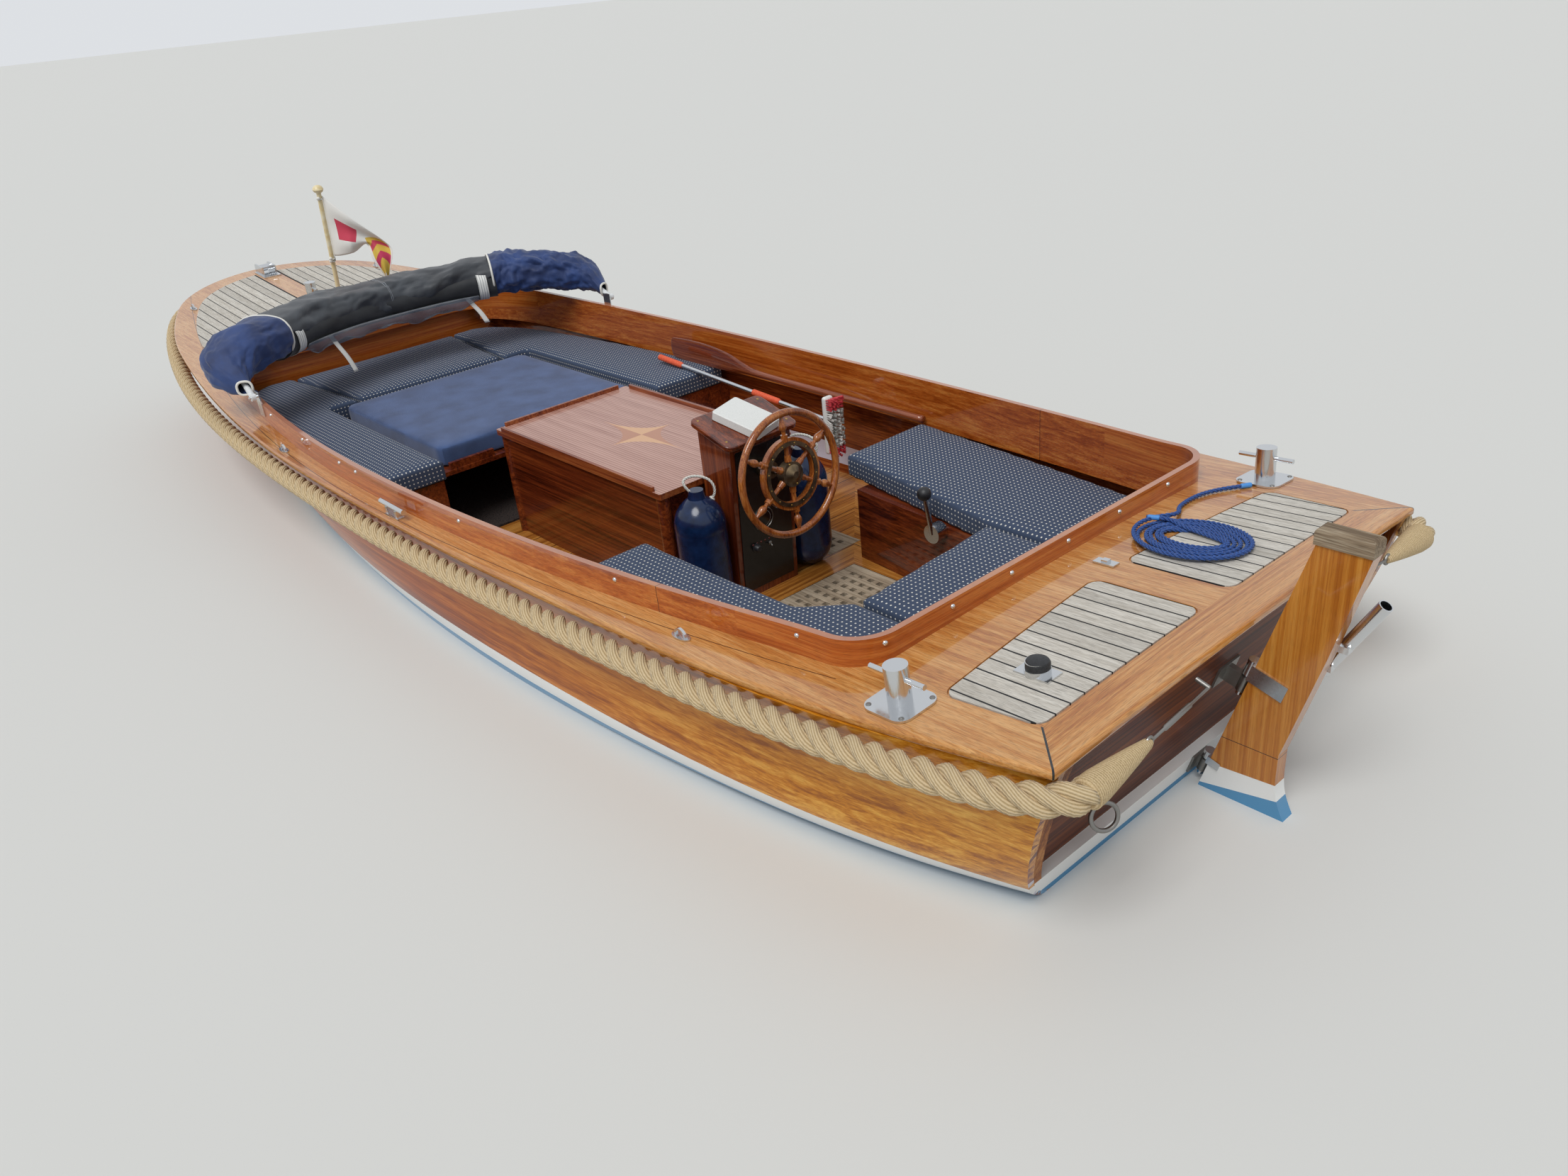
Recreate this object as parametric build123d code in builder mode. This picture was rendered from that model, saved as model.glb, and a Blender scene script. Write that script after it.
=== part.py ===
# Motor launch of 6.7 m, afloat, in millimetres.
# X runs forward, Y to port, Z up. The origin is on the waterline amidships.
# Each sub-part is its own solid, and the moving ones are set on their own axes.
from build123d import *

import os
from math import atan2, cos, hypot, pi, radians, sin, sqrt, tan

os.makedirs("parts", exist_ok=True)

# Clearance between pieces that seat on each other
GAP = 0.3

# Sheer line: two arcs of the deck's centre line that meet at the lowest point
SHEER_X = -350.0
SHEER_Z = 475.0
SHEER_R_AFT = 48500.0
SHEER_R_FORE = 34500.0
CROWN_R = 16000.0
DECK_T = 26.0
EDGE_R = 9.0
PLANK = 24.0

# Transom: its outer plane leans aft as it rises, and the deck ends at the stern
TRANSOM_X0 = -3100.0
TRANSOM_SLOPE = -0.30
TRANSOM_IN = 32.0
TRANSOM_T = 34.0
TRANSOM_FRAME = 30.0
RAIL_TOP = 92.0
STERN_X = -3262.0

# Coaming: heights are from the sheer line
COAM_TOP = 58.0
COAM_LOW = -72.0
COAM_T = 20.0
COAM_AFT_X = -2672.0
COAM_FORE_X = 1950.0
CARLIN_DEEP = 60.0

# Inside heights
CAVITY_Z = -21.0
SOLE_Z = 0.0
SEAT_Z = 283.0
CUSHION_TOP = 375.0
BULKHEAD_T = 22.0

# Teak panels let into the deck, with a caulked seam round them
PANEL_DEEP = 6.0
PANEL_PROUD = 0.6
SEAM = 5.0
KING_HALF = 62.0

# Rope fender under the deck's edge
ROPE_R = 40.0
ROPE_DROP = DECK_T + ROPE_R + GAP

# Engine box and its lid
BOX_AFT = -1200.0
BOX_FORE = -86.0
BOX_HALF = 309.0
BOX_T = 20.0
BOX_TOP = 434.0
BOX_POST_R = 25.0
LID_OVER = 20.0
LID_T = 22.4
FIDDLE_T = 13.0
FIDDLE_HIGH = 17.0
FIDDLE_NOTCH = 42.0

# Console
CONSOLE_HALF = 138.0
CONSOLE_FORE = -1227.0
CONSOLE_LOW_X = -1364.0
CONSOLE_TOP_X = -1398.0
CONSOLE_TOP_AFT = 604.0
CONSOLE_TOP_FORE = 655.0
CONSOLE_LID_T = 20.0
PANEL_T = 5.0
DEVICE_HIGH = 34.0

# Steering wheel
WHEEL_X = -1543.0
WHEEL_Z = 504.0
WHEEL_TILT = 6.0
WHEEL_R = 212.0
WHEEL_TUBE = 13.0
WHEEL_SPOKES = 6
HUB_R = 44.0
INNER_RING_OUT = 126.0
INNER_RING_IN = 98.0
INNER_RING_T = 22.0
SHAFT_R = 12.0
BOSS_R = 30.0
BOSS_LONG = 62.0

# Rudder: its axis runs parallel to the transom
AXIS_GAP = 26.0
LEAD_GAP = 42.0
RUDDER_HALF = 23.0
RUDDER_TOP = 784.0
RUDDER_LOW = -482.0
PIN_R = 9.0
BARREL_R = 14.5
STRAP_T = 4.0

# Shaft and propeller
PROP_X = -2912.0
PROP_Z = -290.0
PROP_R = 155.0
TUBE_R = 26.0
BLADES = 3

# Hood
FOOT_X = 928.0
FOOT_Y = 950.0
FOOT_Z = 590.0
HOOD_LEG_R = 13.0
HOOD_PIN_R = 6.0

# Mooring line
LINE_R = 7.0
COIL_X = -2910.0
COIL_Y = -268.0
COIL_LONG = 186.0
COIL_WIDE = 150.0
COIL_HIGH = 40.0

# Flagstaff: from its step on the foredeck to its truck
STAFF_FOOT_X = 2192.0
STAFF_TOP_X = 2090.0
STAFF_TOP_Z = 1232.0
STAFF_R = 12.0

# Ends of the tools that cut the boat, all well beyond it
FAR = 4000.0
WIDE = 1500.0
DEEP = -900.0
HIGH = 1200.0


def deck_z(x, y=0.0):
    """Height of the deck's top face."""
    r = SHEER_R_AFT if x < SHEER_X else SHEER_R_FORE
    return SHEER_Z + r - sqrt(r * r - (x - SHEER_X) ** 2) - y * y / (2 * CROWN_R)


def deck_seat(x, y, turn=0.0):
    """Plane on the deck's top face, square to it, with its X forward."""
    r = SHEER_R_AFT if x < SHEER_X else SHEER_R_FORE
    rise = (x - SHEER_X) / r
    seat = Plane(origin=(x, y, deck_z(x, y) + 3 * GAP), x_dir=(1, 0, rise), z_dir=(-rise, y / CROWN_R, 1))
    return seat.rotated((0, 0, turn))


def transom_x(z):
    """Place of the transom's outer plane at a height."""
    return TRANSOM_X0 + TRANSOM_SLOPE * z


def axis_x(z):
    """Place of the rudder's axis at a height."""
    return transom_x(z) - AXIS_GAP


def slab(x0, x1, y0, y1, z0, z1, mode=Mode.ADD):
    """Box between two corners, in the piece that is being built."""
    with Locations(((x0 + x1) / 2, (y0 + y1) / 2, (z0 + z1) / 2)):
        Box(abs(x1 - x0), abs(y1 - y0), abs(z1 - z0), mode=mode)


def bar(start, end, radius, mode=Mode.ADD):
    """Round bar between two points, in the piece that is being built."""
    way = Vector(*end) - Vector(*start)
    with Locations(Plane(origin=start, z_dir=way)):
        Cylinder(radius, way.length, align=(Align.CENTER, Align.CENTER, Align.MIN), mode=mode)


def prism(face, low, high, mode=Mode.ADD):
    """Upright prism of a plan face, in the piece that is being built."""
    with BuildSketch(Plane.XY.offset(low)) as section:
        add(face)
    extrude(section.sketch, amount=high - low, mode=mode)


def profile_plate(points, y0, y1, mode=Mode.ADD):
    """Plate upright in the fore-and-aft plane, through (x, z) points, from y0 to y1."""
    with BuildSketch(Plane.XZ.offset(-y1)) as outline:
        Polygon(*points, align=None)
    extrude(outline.sketch, amount=y1 - y0, mode=mode)


def raked_cut(near, far, mode=Mode.SUBTRACT):
    """Slab parallel to the transom's outer plane, from near to far ahead of it."""
    profile_plate([(transom_x(DEEP) + near, DEEP), (transom_x(DEEP) + far, DEEP),
                   (transom_x(HIGH) + far, HIGH), (transom_x(HIGH) + near, HIGH)], -WIDE, WIDE, mode)


def fair_face(aft, widest, fore, round_aft=0.0, round_fore=0.0):
    """Plan face: each side is a chain of tangent arcs from the widest point through the points."""
    with BuildSketch() as face:
        with BuildLine():
            for side in (1, -1):
                for ends, way in ((aft, (-1, 0)), (fore, (1, 0))):
                    start, tangent = (widest[0], side * widest[1]), way
                    for x, y in ends:
                        arc = TangentArc(start, (x, side * y), tangent=tangent)
                        start, tangent = arc @ 1, arc % 1
            Line((aft[-1][0], aft[-1][1]), (aft[-1][0], -aft[-1][1]))
            if fore[-1][1] > 0:
                Line((fore[-1][0], fore[-1][1]), (fore[-1][0], -fore[-1][1]))
        make_face()
        if round_aft:
            fillet(face.vertices().group_by(Axis.X)[0], round_aft)
        if round_fore:
            fillet(face.vertices().group_by(Axis.X)[-1], round_fore)
    return face.sketch


def sheer_band(top, low, crown=True):
    """Solid between two offsets from the sheer line, with or without the deck's crown."""
    drop = WIDE * WIDE / (2 * CROWN_R) if crown else 0.0
    with BuildPart() as band:
        for radius, turn, way in ((SHEER_R_AFT, 4.6, 1), (SHEER_R_FORE, 7.2, -1)):
            with BuildSketch(Plane(origin=(SHEER_X, 0, SHEER_Z), x_dir=(0, 1, 0), z_dir=(1, 0, 0))):
                with BuildLine():
                    for z in (top, low):
                        if crown:
                            ThreePointArc((-WIDE, z - drop), (0, z), (WIDE, z - drop))
                        else:
                            Line((-WIDE, z), (WIDE, z))
                    for y in (-WIDE, WIDE):
                        Line((y, top - drop), (y, low - drop))
                make_face()
            revolve(axis=Axis((SHEER_X, 0, SHEER_Z + radius), (0, way, 0)), revolution_arc=turn)
    return band.part


def save(piece, name):
    """Labels a finished piece and writes it to its file."""
    piece.part.label = name
    export_step(piece.part, f"parts/{name}.step")


# Hull body: the levels that the planking runs through, from above the sheer down to the keel
# columns: z aft, z middle, z fore, then (x, half breadth) aft end, mid-aft, widest, fore, bow, then
# x of the stem and the share of the planking's thickness that lifts the level on the inner skin
LEVELS = (
    (720, 720, 720, (-3450, 772), (-2100, 975), (200, 1040), (2300, 885), (3060, 630), 3444, 0.0),
    (400, 400, 400, (-3450, 748), (-2100, 952), (0, 1020), (1900, 816), (2860, 490), 3300, 0.0),
    (170, 170, 170, (-3450, 680), (-2100, 928), (-300, 1002), (1500, 770), (2620, 360), 3146, 0.0),
    (0, 0, 0, (-3450, 485), (-2100, 890), (-900, 977), (900, 810), (2200, 400), 2990, 0.0),
    (-16, -110, -55, (-3450, 340), (-2050, 760), (-800, 905), (850, 720), (2120, 330), 2925, 0.5),
    (-25, -235, -95, (-3450, 170), (-1950, 440), (-700, 640), (700, 500), (2000, 215), 2870, 0.9),
    (-30, -330, -120, (-3450, 0), (-1900, 0), (-500, 0), (900, 0), (2000, 0), 2800, 1.0),
)
# Shares of each level's length at which the skin is held
SHARES = (0, .08, .17, .27, .38, .5, .61, .7, .78, .845, .9, .94, .972, 1)
# How far the stem's point comes back for each millimetre of planking
STEM_BACK = 1.9


def level_points(level, inset):
    """Points along one level at fixed shares of its length, stern to stem."""
    z_aft, z_mid, z_fore, end, aft, widest, fore, bow, stem, share = level
    keel = widest[1] == 0
    mid, *rest = [(x, 0 if keel else y - inset) for x, y in (widest, aft, end, fore, bow)]
    path = [mid]
    for chain, way in (((rest[0], rest[1]), -1), ((rest[2], rest[3], (stem - STEM_BACK * inset, 0)), 1)):
        start, tangent, run = mid, (way, 0), []
        for stop in chain:
            arc = Line(start, stop) if keel else TangentArc(start, stop, tangent=tangent)
            tangent = arc % 1
            run += [(p.X, p.Y) for p in (arc @ (k / 30) for k in range(1, 31))]
            start = stop
        path = run[::-1] + path if way < 0 else path + run
    reach = [0.0]
    for p, q in zip(path, path[1:]):
        reach.append(reach[-1] + hypot(p[0] - q[0], p[1] - q[1]))
    points = []
    for share_along in SHARES:
        goal = share_along * reach[-1]
        k = min(max(i for i, v in enumerate(reach) if v <= goal + 1e-6), len(path) - 2)
        w = (goal - reach[k]) / (reach[k + 1] - reach[k])
        x = path[k][0] + w * (path[k + 1][0] - path[k][0])
        y = path[k][1] + w * (path[k + 1][1] - path[k][1])
        s = (x - end[0]) / (stem - end[0])
        z_end = z_aft if s < 0.5 else z_fore
        z = z_end + (z_mid - z_end) * max(sin(pi * s), 0.0) ** 1.2
        points.append(Vector(x, y, z + share * inset))
    return points


def hull_form(inset):
    """Closed body of the planking's outer face, pulled in by the inset: a skin, its mirror and two ends."""
    rows = [level_points(level, inset) for level in LEVELS]
    side = Face.make_surface_from_array_of_points(rows, tol=0.8, min_deg=3, max_deg=3)
    top = side.edges().sort_by(Axis.Z)[-1]
    aft = side.edges().sort_by(Axis.X)[0]
    corner = rows[0][0]
    across = Edge.make_line(corner, Vector(corner.X, -corner.Y, corner.Z))
    lid = Face(Wire([top, across, top.mirror(Plane.XZ)]))
    end = Face(Wire([aft, aft.mirror(Plane.XZ), across]))
    return Solid(Shell([side, side.mirror(Plane.XZ), lid, end]))


outer_form = hull_form(0.0)
inner_form = hull_form(PLANK)
lining_form = hull_form(PLANK + GAP + 0.1)
frame_form = hull_form(PLANK + TRANSOM_FRAME)
above_deck = sheer_band(HIGH, -DECK_T)

with BuildPart() as hull_bottom:
    add(outer_form)
    raked_cut(-FAR, 0)
    slab(-FAR, FAR, -WIDE, WIDE, CAVITY_Z, HIGH, mode=Mode.SUBTRACT)
save(hull_bottom, "hull_bottom")

with BuildPart() as hull_sides:
    add(outer_form)
    add(inner_form, mode=Mode.SUBTRACT)
    raked_cut(-FAR, 0)
    add(above_deck, mode=Mode.SUBTRACT)
    slab(-FAR, FAR, -WIDE, WIDE, DEEP, CAVITY_Z, mode=Mode.SUBTRACT)
save(hull_sides, "hull_sides")

# Inside of the hull at full height, which trims what stands in it
with BuildPart() as inside:
    add(lining_form)
    add(above_deck, mode=Mode.SUBTRACT)
    slab(-FAR, FAR, -WIDE, WIDE, DEEP, CAVITY_Z + GAP, mode=Mode.SUBTRACT)

# Transom: a panel set in behind its side frames and its bottom rail, which lie in the outer plane
with BuildPart() as transom_recess:
    add(frame_form)
    raked_cut(TRANSOM_IN, 2 * FAR)
    slab(-FAR, FAR, -WIDE, WIDE, DEEP, RAIL_TOP, mode=Mode.SUBTRACT)
with BuildPart() as transom:
    add(inside.part)
    raked_cut(-FAR, 0)
    raked_cut(TRANSOM_IN + TRANSOM_T, 2 * FAR)
    add(transom_recess.part, mode=Mode.SUBTRACT)
save(transom, "transom")

# Plan outlines
deck_plan = fair_face([(-2100, 979), (STERN_X, 815)], (200, 1045), [(2300, 860), (3040, 621), (3440, 0)])
coaming_plan = fair_face([(-2400, 800), (COAM_AFT_X, 775)], (-100, 976),
                         [(1500, 850), (COAM_FORE_X, 640)], 130, 260)
with BuildSketch() as coaming_inner:
    offset(coaming_plan, amount=-COAM_T)
with BuildSketch() as coaming_grown:
    offset(coaming_plan, amount=GAP)
with BuildSketch() as cushion_plan:
    offset(coaming_plan, amount=-COAM_T - 10)

# Teak panels: an aft pair beside a covering board, and a fore pair that follows the deck's edge
with BuildSketch() as aft_panel:
    Polygon((-3138, 70), (-3138, 698), (-2880, 722), (-2829, 70), align=None)
    fillet(aft_panel.vertices(), 32)
with BuildSketch() as aft_pocket:
    offset(aft_panel.sketch, amount=SEAM)
fore_outline = fair_face([(-1000, 900), (-1500, 850)], (200, 930), [(2270, 748), (2975, 520), (3322, 0)])
fore_inline = fair_face([(-2400, 880), (-2700, 800)], (-100, 1060), [(1500, 940), (2045, 720)], 130, 300)
with BuildPart() as panels:
    prism(aft_panel.sketch, DEEP, HIGH)
    with BuildSketch(Plane.XY.offset(DEEP)):
        add(fore_outline)
        add(fore_inline, mode=Mode.SUBTRACT)
        with Locations((2500, 700)):
            Rectangle(2200, 1400 - 2 * KING_HALF, mode=Mode.INTERSECT)
    extrude(amount=HIGH - DEEP)
    mirror(about=Plane.XZ)
pocket_band = sheer_band(60, -PANEL_DEEP)
panel_band = sheer_band(PANEL_PROUD, -PANEL_DEEP)
with BuildPart() as panel_pockets:
    add(panels.part)
    prism(aft_pocket.sketch, DEEP, HIGH)
    mirror(about=Plane.XZ)
    add(pocket_band, mode=Mode.INTERSECT)
with BuildPart() as teak_panels:
    add(panels.part)
    add(panel_band, mode=Mode.INTERSECT)
save(teak_panels, "teak_panels")

# Deck blank with its edge rounded over, then the deck in three lengths round the cockpit
deck_band = sheer_band(0, -DECK_T)
with BuildPart() as deck_blank:
    add(deck_band)
    prism(deck_plan, DEEP, HIGH, Mode.INTERSECT)
    edge_faces = deck_blank.faces().filter_by(lambda face: abs(face.normal_at().Z) < 0.3)
    fillet(edge_faces.edges().filter_by(lambda edge: edge.length > 2 * DECK_T), EDGE_R)
DECKS = (
    # name, x aft, x fore
    ("aft_deck", -3400, -2420),
    ("side_decks", -2420, 1650),
    ("foredeck", 1650, 3600),
)
for name, x0, x1 in DECKS:
    with BuildPart() as deck:
        add(deck_blank.part)
        slab(x0, x1, -WIDE, WIDE, DEEP, HIGH, mode=Mode.INTERSECT)
        prism(coaming_plan, DEEP, HIGH, Mode.SUBTRACT)
        add(panel_pockets.part, mode=Mode.SUBTRACT)
    save(deck, name)

# Coaming in four lengths, and the carlin under it
coaming_band = sheer_band(COAM_TOP, COAM_LOW, crown=False)
COAMINGS = (
    # name, x aft, x fore, y starboard, y port
    ("coaming_aft", -2700, -2250, -WIDE, WIDE),
    ("coaming_port", -2250, 1500, 0, WIDE),
    ("coaming_starboard", -2250, 1500, -WIDE, 0),
    ("coaming_fore", 1500, 2100, -WIDE, WIDE),
)
for name, x0, x1, y0, y1 in COAMINGS:
    with BuildPart() as coaming:
        prism(coaming_plan, DEEP, HIGH)
        prism(coaming_inner.sketch, DEEP, HIGH, Mode.SUBTRACT)
        slab(x0, x1, y0, y1, DEEP, HIGH, mode=Mode.INTERSECT)
        add(coaming_band, mode=Mode.INTERSECT)
    save(coaming, name)
carlin_band = sheer_band(COAM_LOW - GAP, COAM_LOW - CARLIN_DEEP, crown=False)
with BuildPart() as carlins:
    prism(coaming_plan, DEEP, HIGH)
    prism(coaming_inner.sketch, DEEP, HIGH, Mode.SUBTRACT)
    slab(-2600, 1880, 2, WIDE, DEEP, HIGH, mode=Mode.INTERSECT)
    add(carlin_band, mode=Mode.INTERSECT)
    mirror(about=Plane.XZ)
save(carlins, "carlins")

# Bulkheads that close the cockpit's ends under the decks
with BuildPart() as bulkheads:
    slab(COAM_AFT_X - 2 * GAP - BULKHEAD_T, COAM_AFT_X - 2 * GAP, -WIDE, WIDE, SOLE_Z + GAP, HIGH)
    slab(COAM_FORE_X + 1, COAM_FORE_X + 1 + BULKHEAD_T, -WIDE, WIDE, SOLE_Z + GAP, HIGH)
    add(inside.part, mode=Mode.INTERSECT)
save(bulkheads, "bulkheads")

# Sole, and the square-holed gratings let into it
GRATINGS = (
    # x aft, x fore, y starboard, y port
    (-2085, -1467, -335, 335),
    (-1338, -905, -BOX_HALF - 191, -BOX_HALF - 23),
)
GRATING_PITCH = 46.0
GRATING_RIM = 20.0
with BuildPart() as sole:
    slab(COAM_AFT_X, COAM_FORE_X, -WIDE, WIDE, CAVITY_Z + GAP, SOLE_Z)
    add(inside.part, mode=Mode.INTERSECT)
    for x0, x1, y0, y1 in GRATINGS:
        slab(x0, x1, y0, y1, -60, 60, mode=Mode.SUBTRACT)
save(sole, "sole")
with BuildPart() as gratings:
    for x0, x1, y0, y1 in GRATINGS:
        long_count = int((x1 - x0 - 2 * GRATING_RIM) // GRATING_PITCH)
        wide_count = int((y1 - y0 - 2 * GRATING_RIM) // GRATING_PITCH)
        with BuildSketch(Plane(origin=((x0 + x1) / 2, (y0 + y1) / 2, CAVITY_Z + GAP))):
            Rectangle(x1 - x0 - 2, y1 - y0 - 2)
            with GridLocations(GRATING_PITCH, GRATING_PITCH, long_count, wide_count):
                Rectangle(GRATING_PITCH / 2, GRATING_PITCH / 2, mode=Mode.SUBTRACT)
        extrude(amount=SOLE_Z - CAVITY_Z - GAP)
save(gratings, "gratings")
with BuildPart() as carpet:
    slab(20, 1205, -556, 556, SOLE_Z + GAP, SOLE_Z + 9)
save(carpet, "carpet")

# Seat bases: lockers trimmed by the hull's inside
FORE_SEAT_Y = 560.0
SEATS = (
    # name, then plan corners of each locker
    ("forward_seats", ((30, FORE_SEAT_Y), (1208, FORE_SEAT_Y), (1208, 1300), (30, 1300)),
     ((30, -FORE_SEAT_Y), (1208, -FORE_SEAT_Y), (1208, -1300), (30, -1300)),
     ((1210, -1300), (COAM_FORE_X, -1300), (COAM_FORE_X, 1300), (1210, 1300))),
    ("aft_seats", ((-2671, 330), (-2200, 345), (-2080, 480), (-1400, 500), (-1400, 1300), (-2671, 1300)),
     ((-2671, -330), (-2170, -330), (-1450, -395), (-1450, -1300), (-2671, -1300)),
     ((-2671, -329), (-2200, -329), (-2200, 329), (-2671, 329))),
)
for name, *lockers in SEATS:
    with BuildPart() as seats:
        for corners in lockers:
            with BuildSketch(Plane.XY.offset(SOLE_Z + GAP)):
                Polygon(*corners, align=None)
        extrude(amount=SEAT_Z - SOLE_Z - GAP)
        add(inside.part, mode=Mode.INTERSECT)
    save(seats, name)

# Cushions, inside the coaming's line
CUSHIONS = (
    # node, then plan corners of each cushion
    ("cushions_fore", ((10, 545), (1196, 545), (1196, 400), (1900, 470), (1900, 1300), (10, 1300)),
     ((10, -545), (1196, -545), (1196, -400), (1900, -470), (1900, -1300), (10, -1300)),
     ((1200, -394), (1880, -462), (1880, 462), (1200, 394))),
    ("cushions_aft", ((-2640, 334), (-2192, 334), (-2060, 462), (-1320, 481), (-1320, 1300), (-2640, 1300)),
     ((-2640, -318), (-2139, -312), (-1315, -463), (-1315, -1300), (-2640, -1300)),
     ((-2640, -312), (-2145, -306), (-2190, 328), (-2640, 328))),
)
for name, *covers in CUSHIONS:
    with BuildPart() as cushions:
        for corners in covers:
            with BuildSketch(Plane.XY.offset(SEAT_Z + GAP)):
                Polygon(*corners, align=None)
        extrude(amount=CUSHION_TOP - SEAT_Z - GAP)
        prism(cushion_plan.sketch, DEEP, HIGH, Mode.INTERSECT)
        add(inside.part, mode=Mode.INTERSECT)
    save(cushions, name)

# Board that fills the forward seats' gap, with the rail under its aft edge, and its cushion
INFILL_AFT = 112.0
INFILL_T = 19.0
with BuildPart() as infill_board:
    slab(INFILL_AFT, 1209.7, GAP - FORE_SEAT_Y, FORE_SEAT_Y - GAP, SEAT_Z - 2 - INFILL_T, SEAT_Z - 2)
    slab(INFILL_AFT + 6, INFILL_AFT + 24, 270, 480, SEAT_Z - 2, SEAT_Z + 29)
save(infill_board, "infill_board")
with BuildPart() as infill_cushion:
    with BuildSketch(Plane((657.5, 0, SEAT_Z - 1.6))):
        RectangleRounded(1015, 1000, 55)
    extrude(amount=CUSHION_TOP - SEAT_Z - 0.4)
save(infill_cushion, "infill_cushion")

# Engine box with round corner posts, and the engine in it
ENGINE_AFT = -1060.0
ENGINE_FORE = -300.0
ENGINE_HALF = 190.0
ENGINE_TOP = 380.0
BOX_X = (BOX_AFT + BOX_FORE) / 2
BOX_LONG = BOX_FORE - BOX_AFT
POST_IN = 12.0
with BuildPart() as engine_box:
    with BuildSketch(Plane((BOX_X, 0, SOLE_Z + GAP))):
        Rectangle(BOX_LONG, 2 * BOX_HALF)
        with GridLocations(BOX_LONG - 2 * POST_IN, 2 * (BOX_HALF - POST_IN), 2, 2):
            Circle(BOX_POST_R)
        Rectangle(BOX_LONG - 2 * BOX_T, 2 * (BOX_HALF - BOX_T), mode=Mode.SUBTRACT)
    extrude(amount=BOX_TOP - SOLE_Z - GAP)
save(engine_box, "engine_box")
with BuildPart() as engine:
    slab(ENGINE_AFT, ENGINE_FORE, -ENGINE_HALF, ENGINE_HALF, SOLE_Z + GAP, ENGINE_TOP)
save(engine, "engine")

# Engine lid, hinged at its fore edge, with low fiddles that stop short of its corners
with BuildPart() as engine_lid:
    with BuildSketch(Plane((BOX_X, 0, BOX_TOP + 2 * GAP))):
        RectangleRounded(BOX_LONG + 2 * LID_OVER, 2 * (BOX_HALF + LID_OVER), 8)
    extrude(amount=LID_T)
    lid_fore = BOX_FORE + LID_OVER
    lid_half = BOX_HALF + LID_OVER
    with BuildSketch(Plane((0, 0, BOX_TOP + 2 * GAP + LID_T))):
        with Locations((BOX_X, lid_half - FIDDLE_T / 2), (BOX_X, FIDDLE_T / 2 - lid_half)):
            RectangleRounded(BOX_LONG + 2 * (LID_OVER - FIDDLE_NOTCH), FIDDLE_T, FIDDLE_T * 0.45)
        with Locations((lid_fore - FIDDLE_T / 2, 0)):
            RectangleRounded(FIDDLE_T, 2 * (lid_half - FIDDLE_NOTCH), FIDDLE_T * 0.45)
    extrude(amount=FIDDLE_HIGH)
save(engine_lid, "engine_lid")

# Wheel's axis plane: its origin is the hub, its Z points aft and up
tilt = radians(WHEEL_TILT)
wheel_plane = Plane(origin=(WHEEL_X, 0, WHEEL_Z), x_dir=(0, 1, 0), z_dir=(-cos(tilt), 0, sin(tilt)))
BOSS_AT = -128.0

# Console: post, sloping top, instrument panel, and the white device on the top
slope = atan2(CONSOLE_TOP_FORE - CONSOLE_TOP_AFT, CONSOLE_FORE - CONSOLE_TOP_X)
top_plane = Plane(origin=((CONSOLE_FORE + CONSOLE_TOP_X) / 2, 0, (CONSOLE_TOP_FORE + CONSOLE_TOP_AFT) / 2 + GAP),
                  x_dir=(cos(slope), 0, sin(slope)), z_dir=(-sin(slope), 0, cos(slope)))
aft_face = Plane(origin=((CONSOLE_LOW_X + CONSOLE_TOP_X) / 2, 0, CONSOLE_TOP_AFT / 2), x_dir=(0, -1, 0),
                 z_dir=(-CONSOLE_TOP_AFT, 0, CONSOLE_TOP_X - CONSOLE_LOW_X))
with BuildPart() as console:
    profile_plate([(CONSOLE_FORE, SOLE_Z + GAP), (CONSOLE_LOW_X, SOLE_Z + GAP), (CONSOLE_TOP_X, CONSOLE_TOP_AFT),
                   (CONSOLE_FORE, CONSOLE_TOP_FORE)], -CONSOLE_HALF, CONSOLE_HALF)
    with Locations(wheel_plane.offset(BOSS_AT - 22)):
        Cylinder(SHAFT_R + 0.4, 60, mode=Mode.SUBTRACT)
save(console, "console")
with BuildPart() as console_top:
    with BuildSketch(top_plane):
        RectangleRounded(222, 322, 26)
    extrude(amount=CONSOLE_LID_T)
    fillet(console_top.faces().sort_by(Axis.Z)[-1].edges(), 5)
save(console_top, "console_top")
with BuildPart() as white_box:
    with BuildSketch(top_plane.offset(CONSOLE_LID_T + GAP)):
        with Locations((-12, 2)):
            RectangleRounded(200, 140, 12, rotation=14)
    extrude(amount=DEVICE_HIGH)
    chamfer(white_box.faces().sort_by(Axis.Z)[-1].edges(), 3)
save(white_box, "white_box")
with BuildPart() as instrument_panel:
    with BuildSketch(aft_face):
        with Locations((0, 80)):
            RectangleRounded(236, 400, 8)
    extrude(amount=PANEL_T)
    with Locations(wheel_plane.offset(BOSS_AT)):
        Cylinder(BOSS_R + 1, 200, mode=Mode.SUBTRACT)
save(instrument_panel, "instrument_panel")
with BuildPart() as wheel_boss:
    with Locations(wheel_plane.offset(BOSS_AT)):
        Cylinder(BOSS_R, BOSS_LONG)
        Cylinder(SHAFT_R + 0.4, BOSS_LONG + 20, mode=Mode.SUBTRACT)
    add(console.part, mode=Mode.SUBTRACT)
save(wheel_boss, "wheel_boss")

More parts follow.
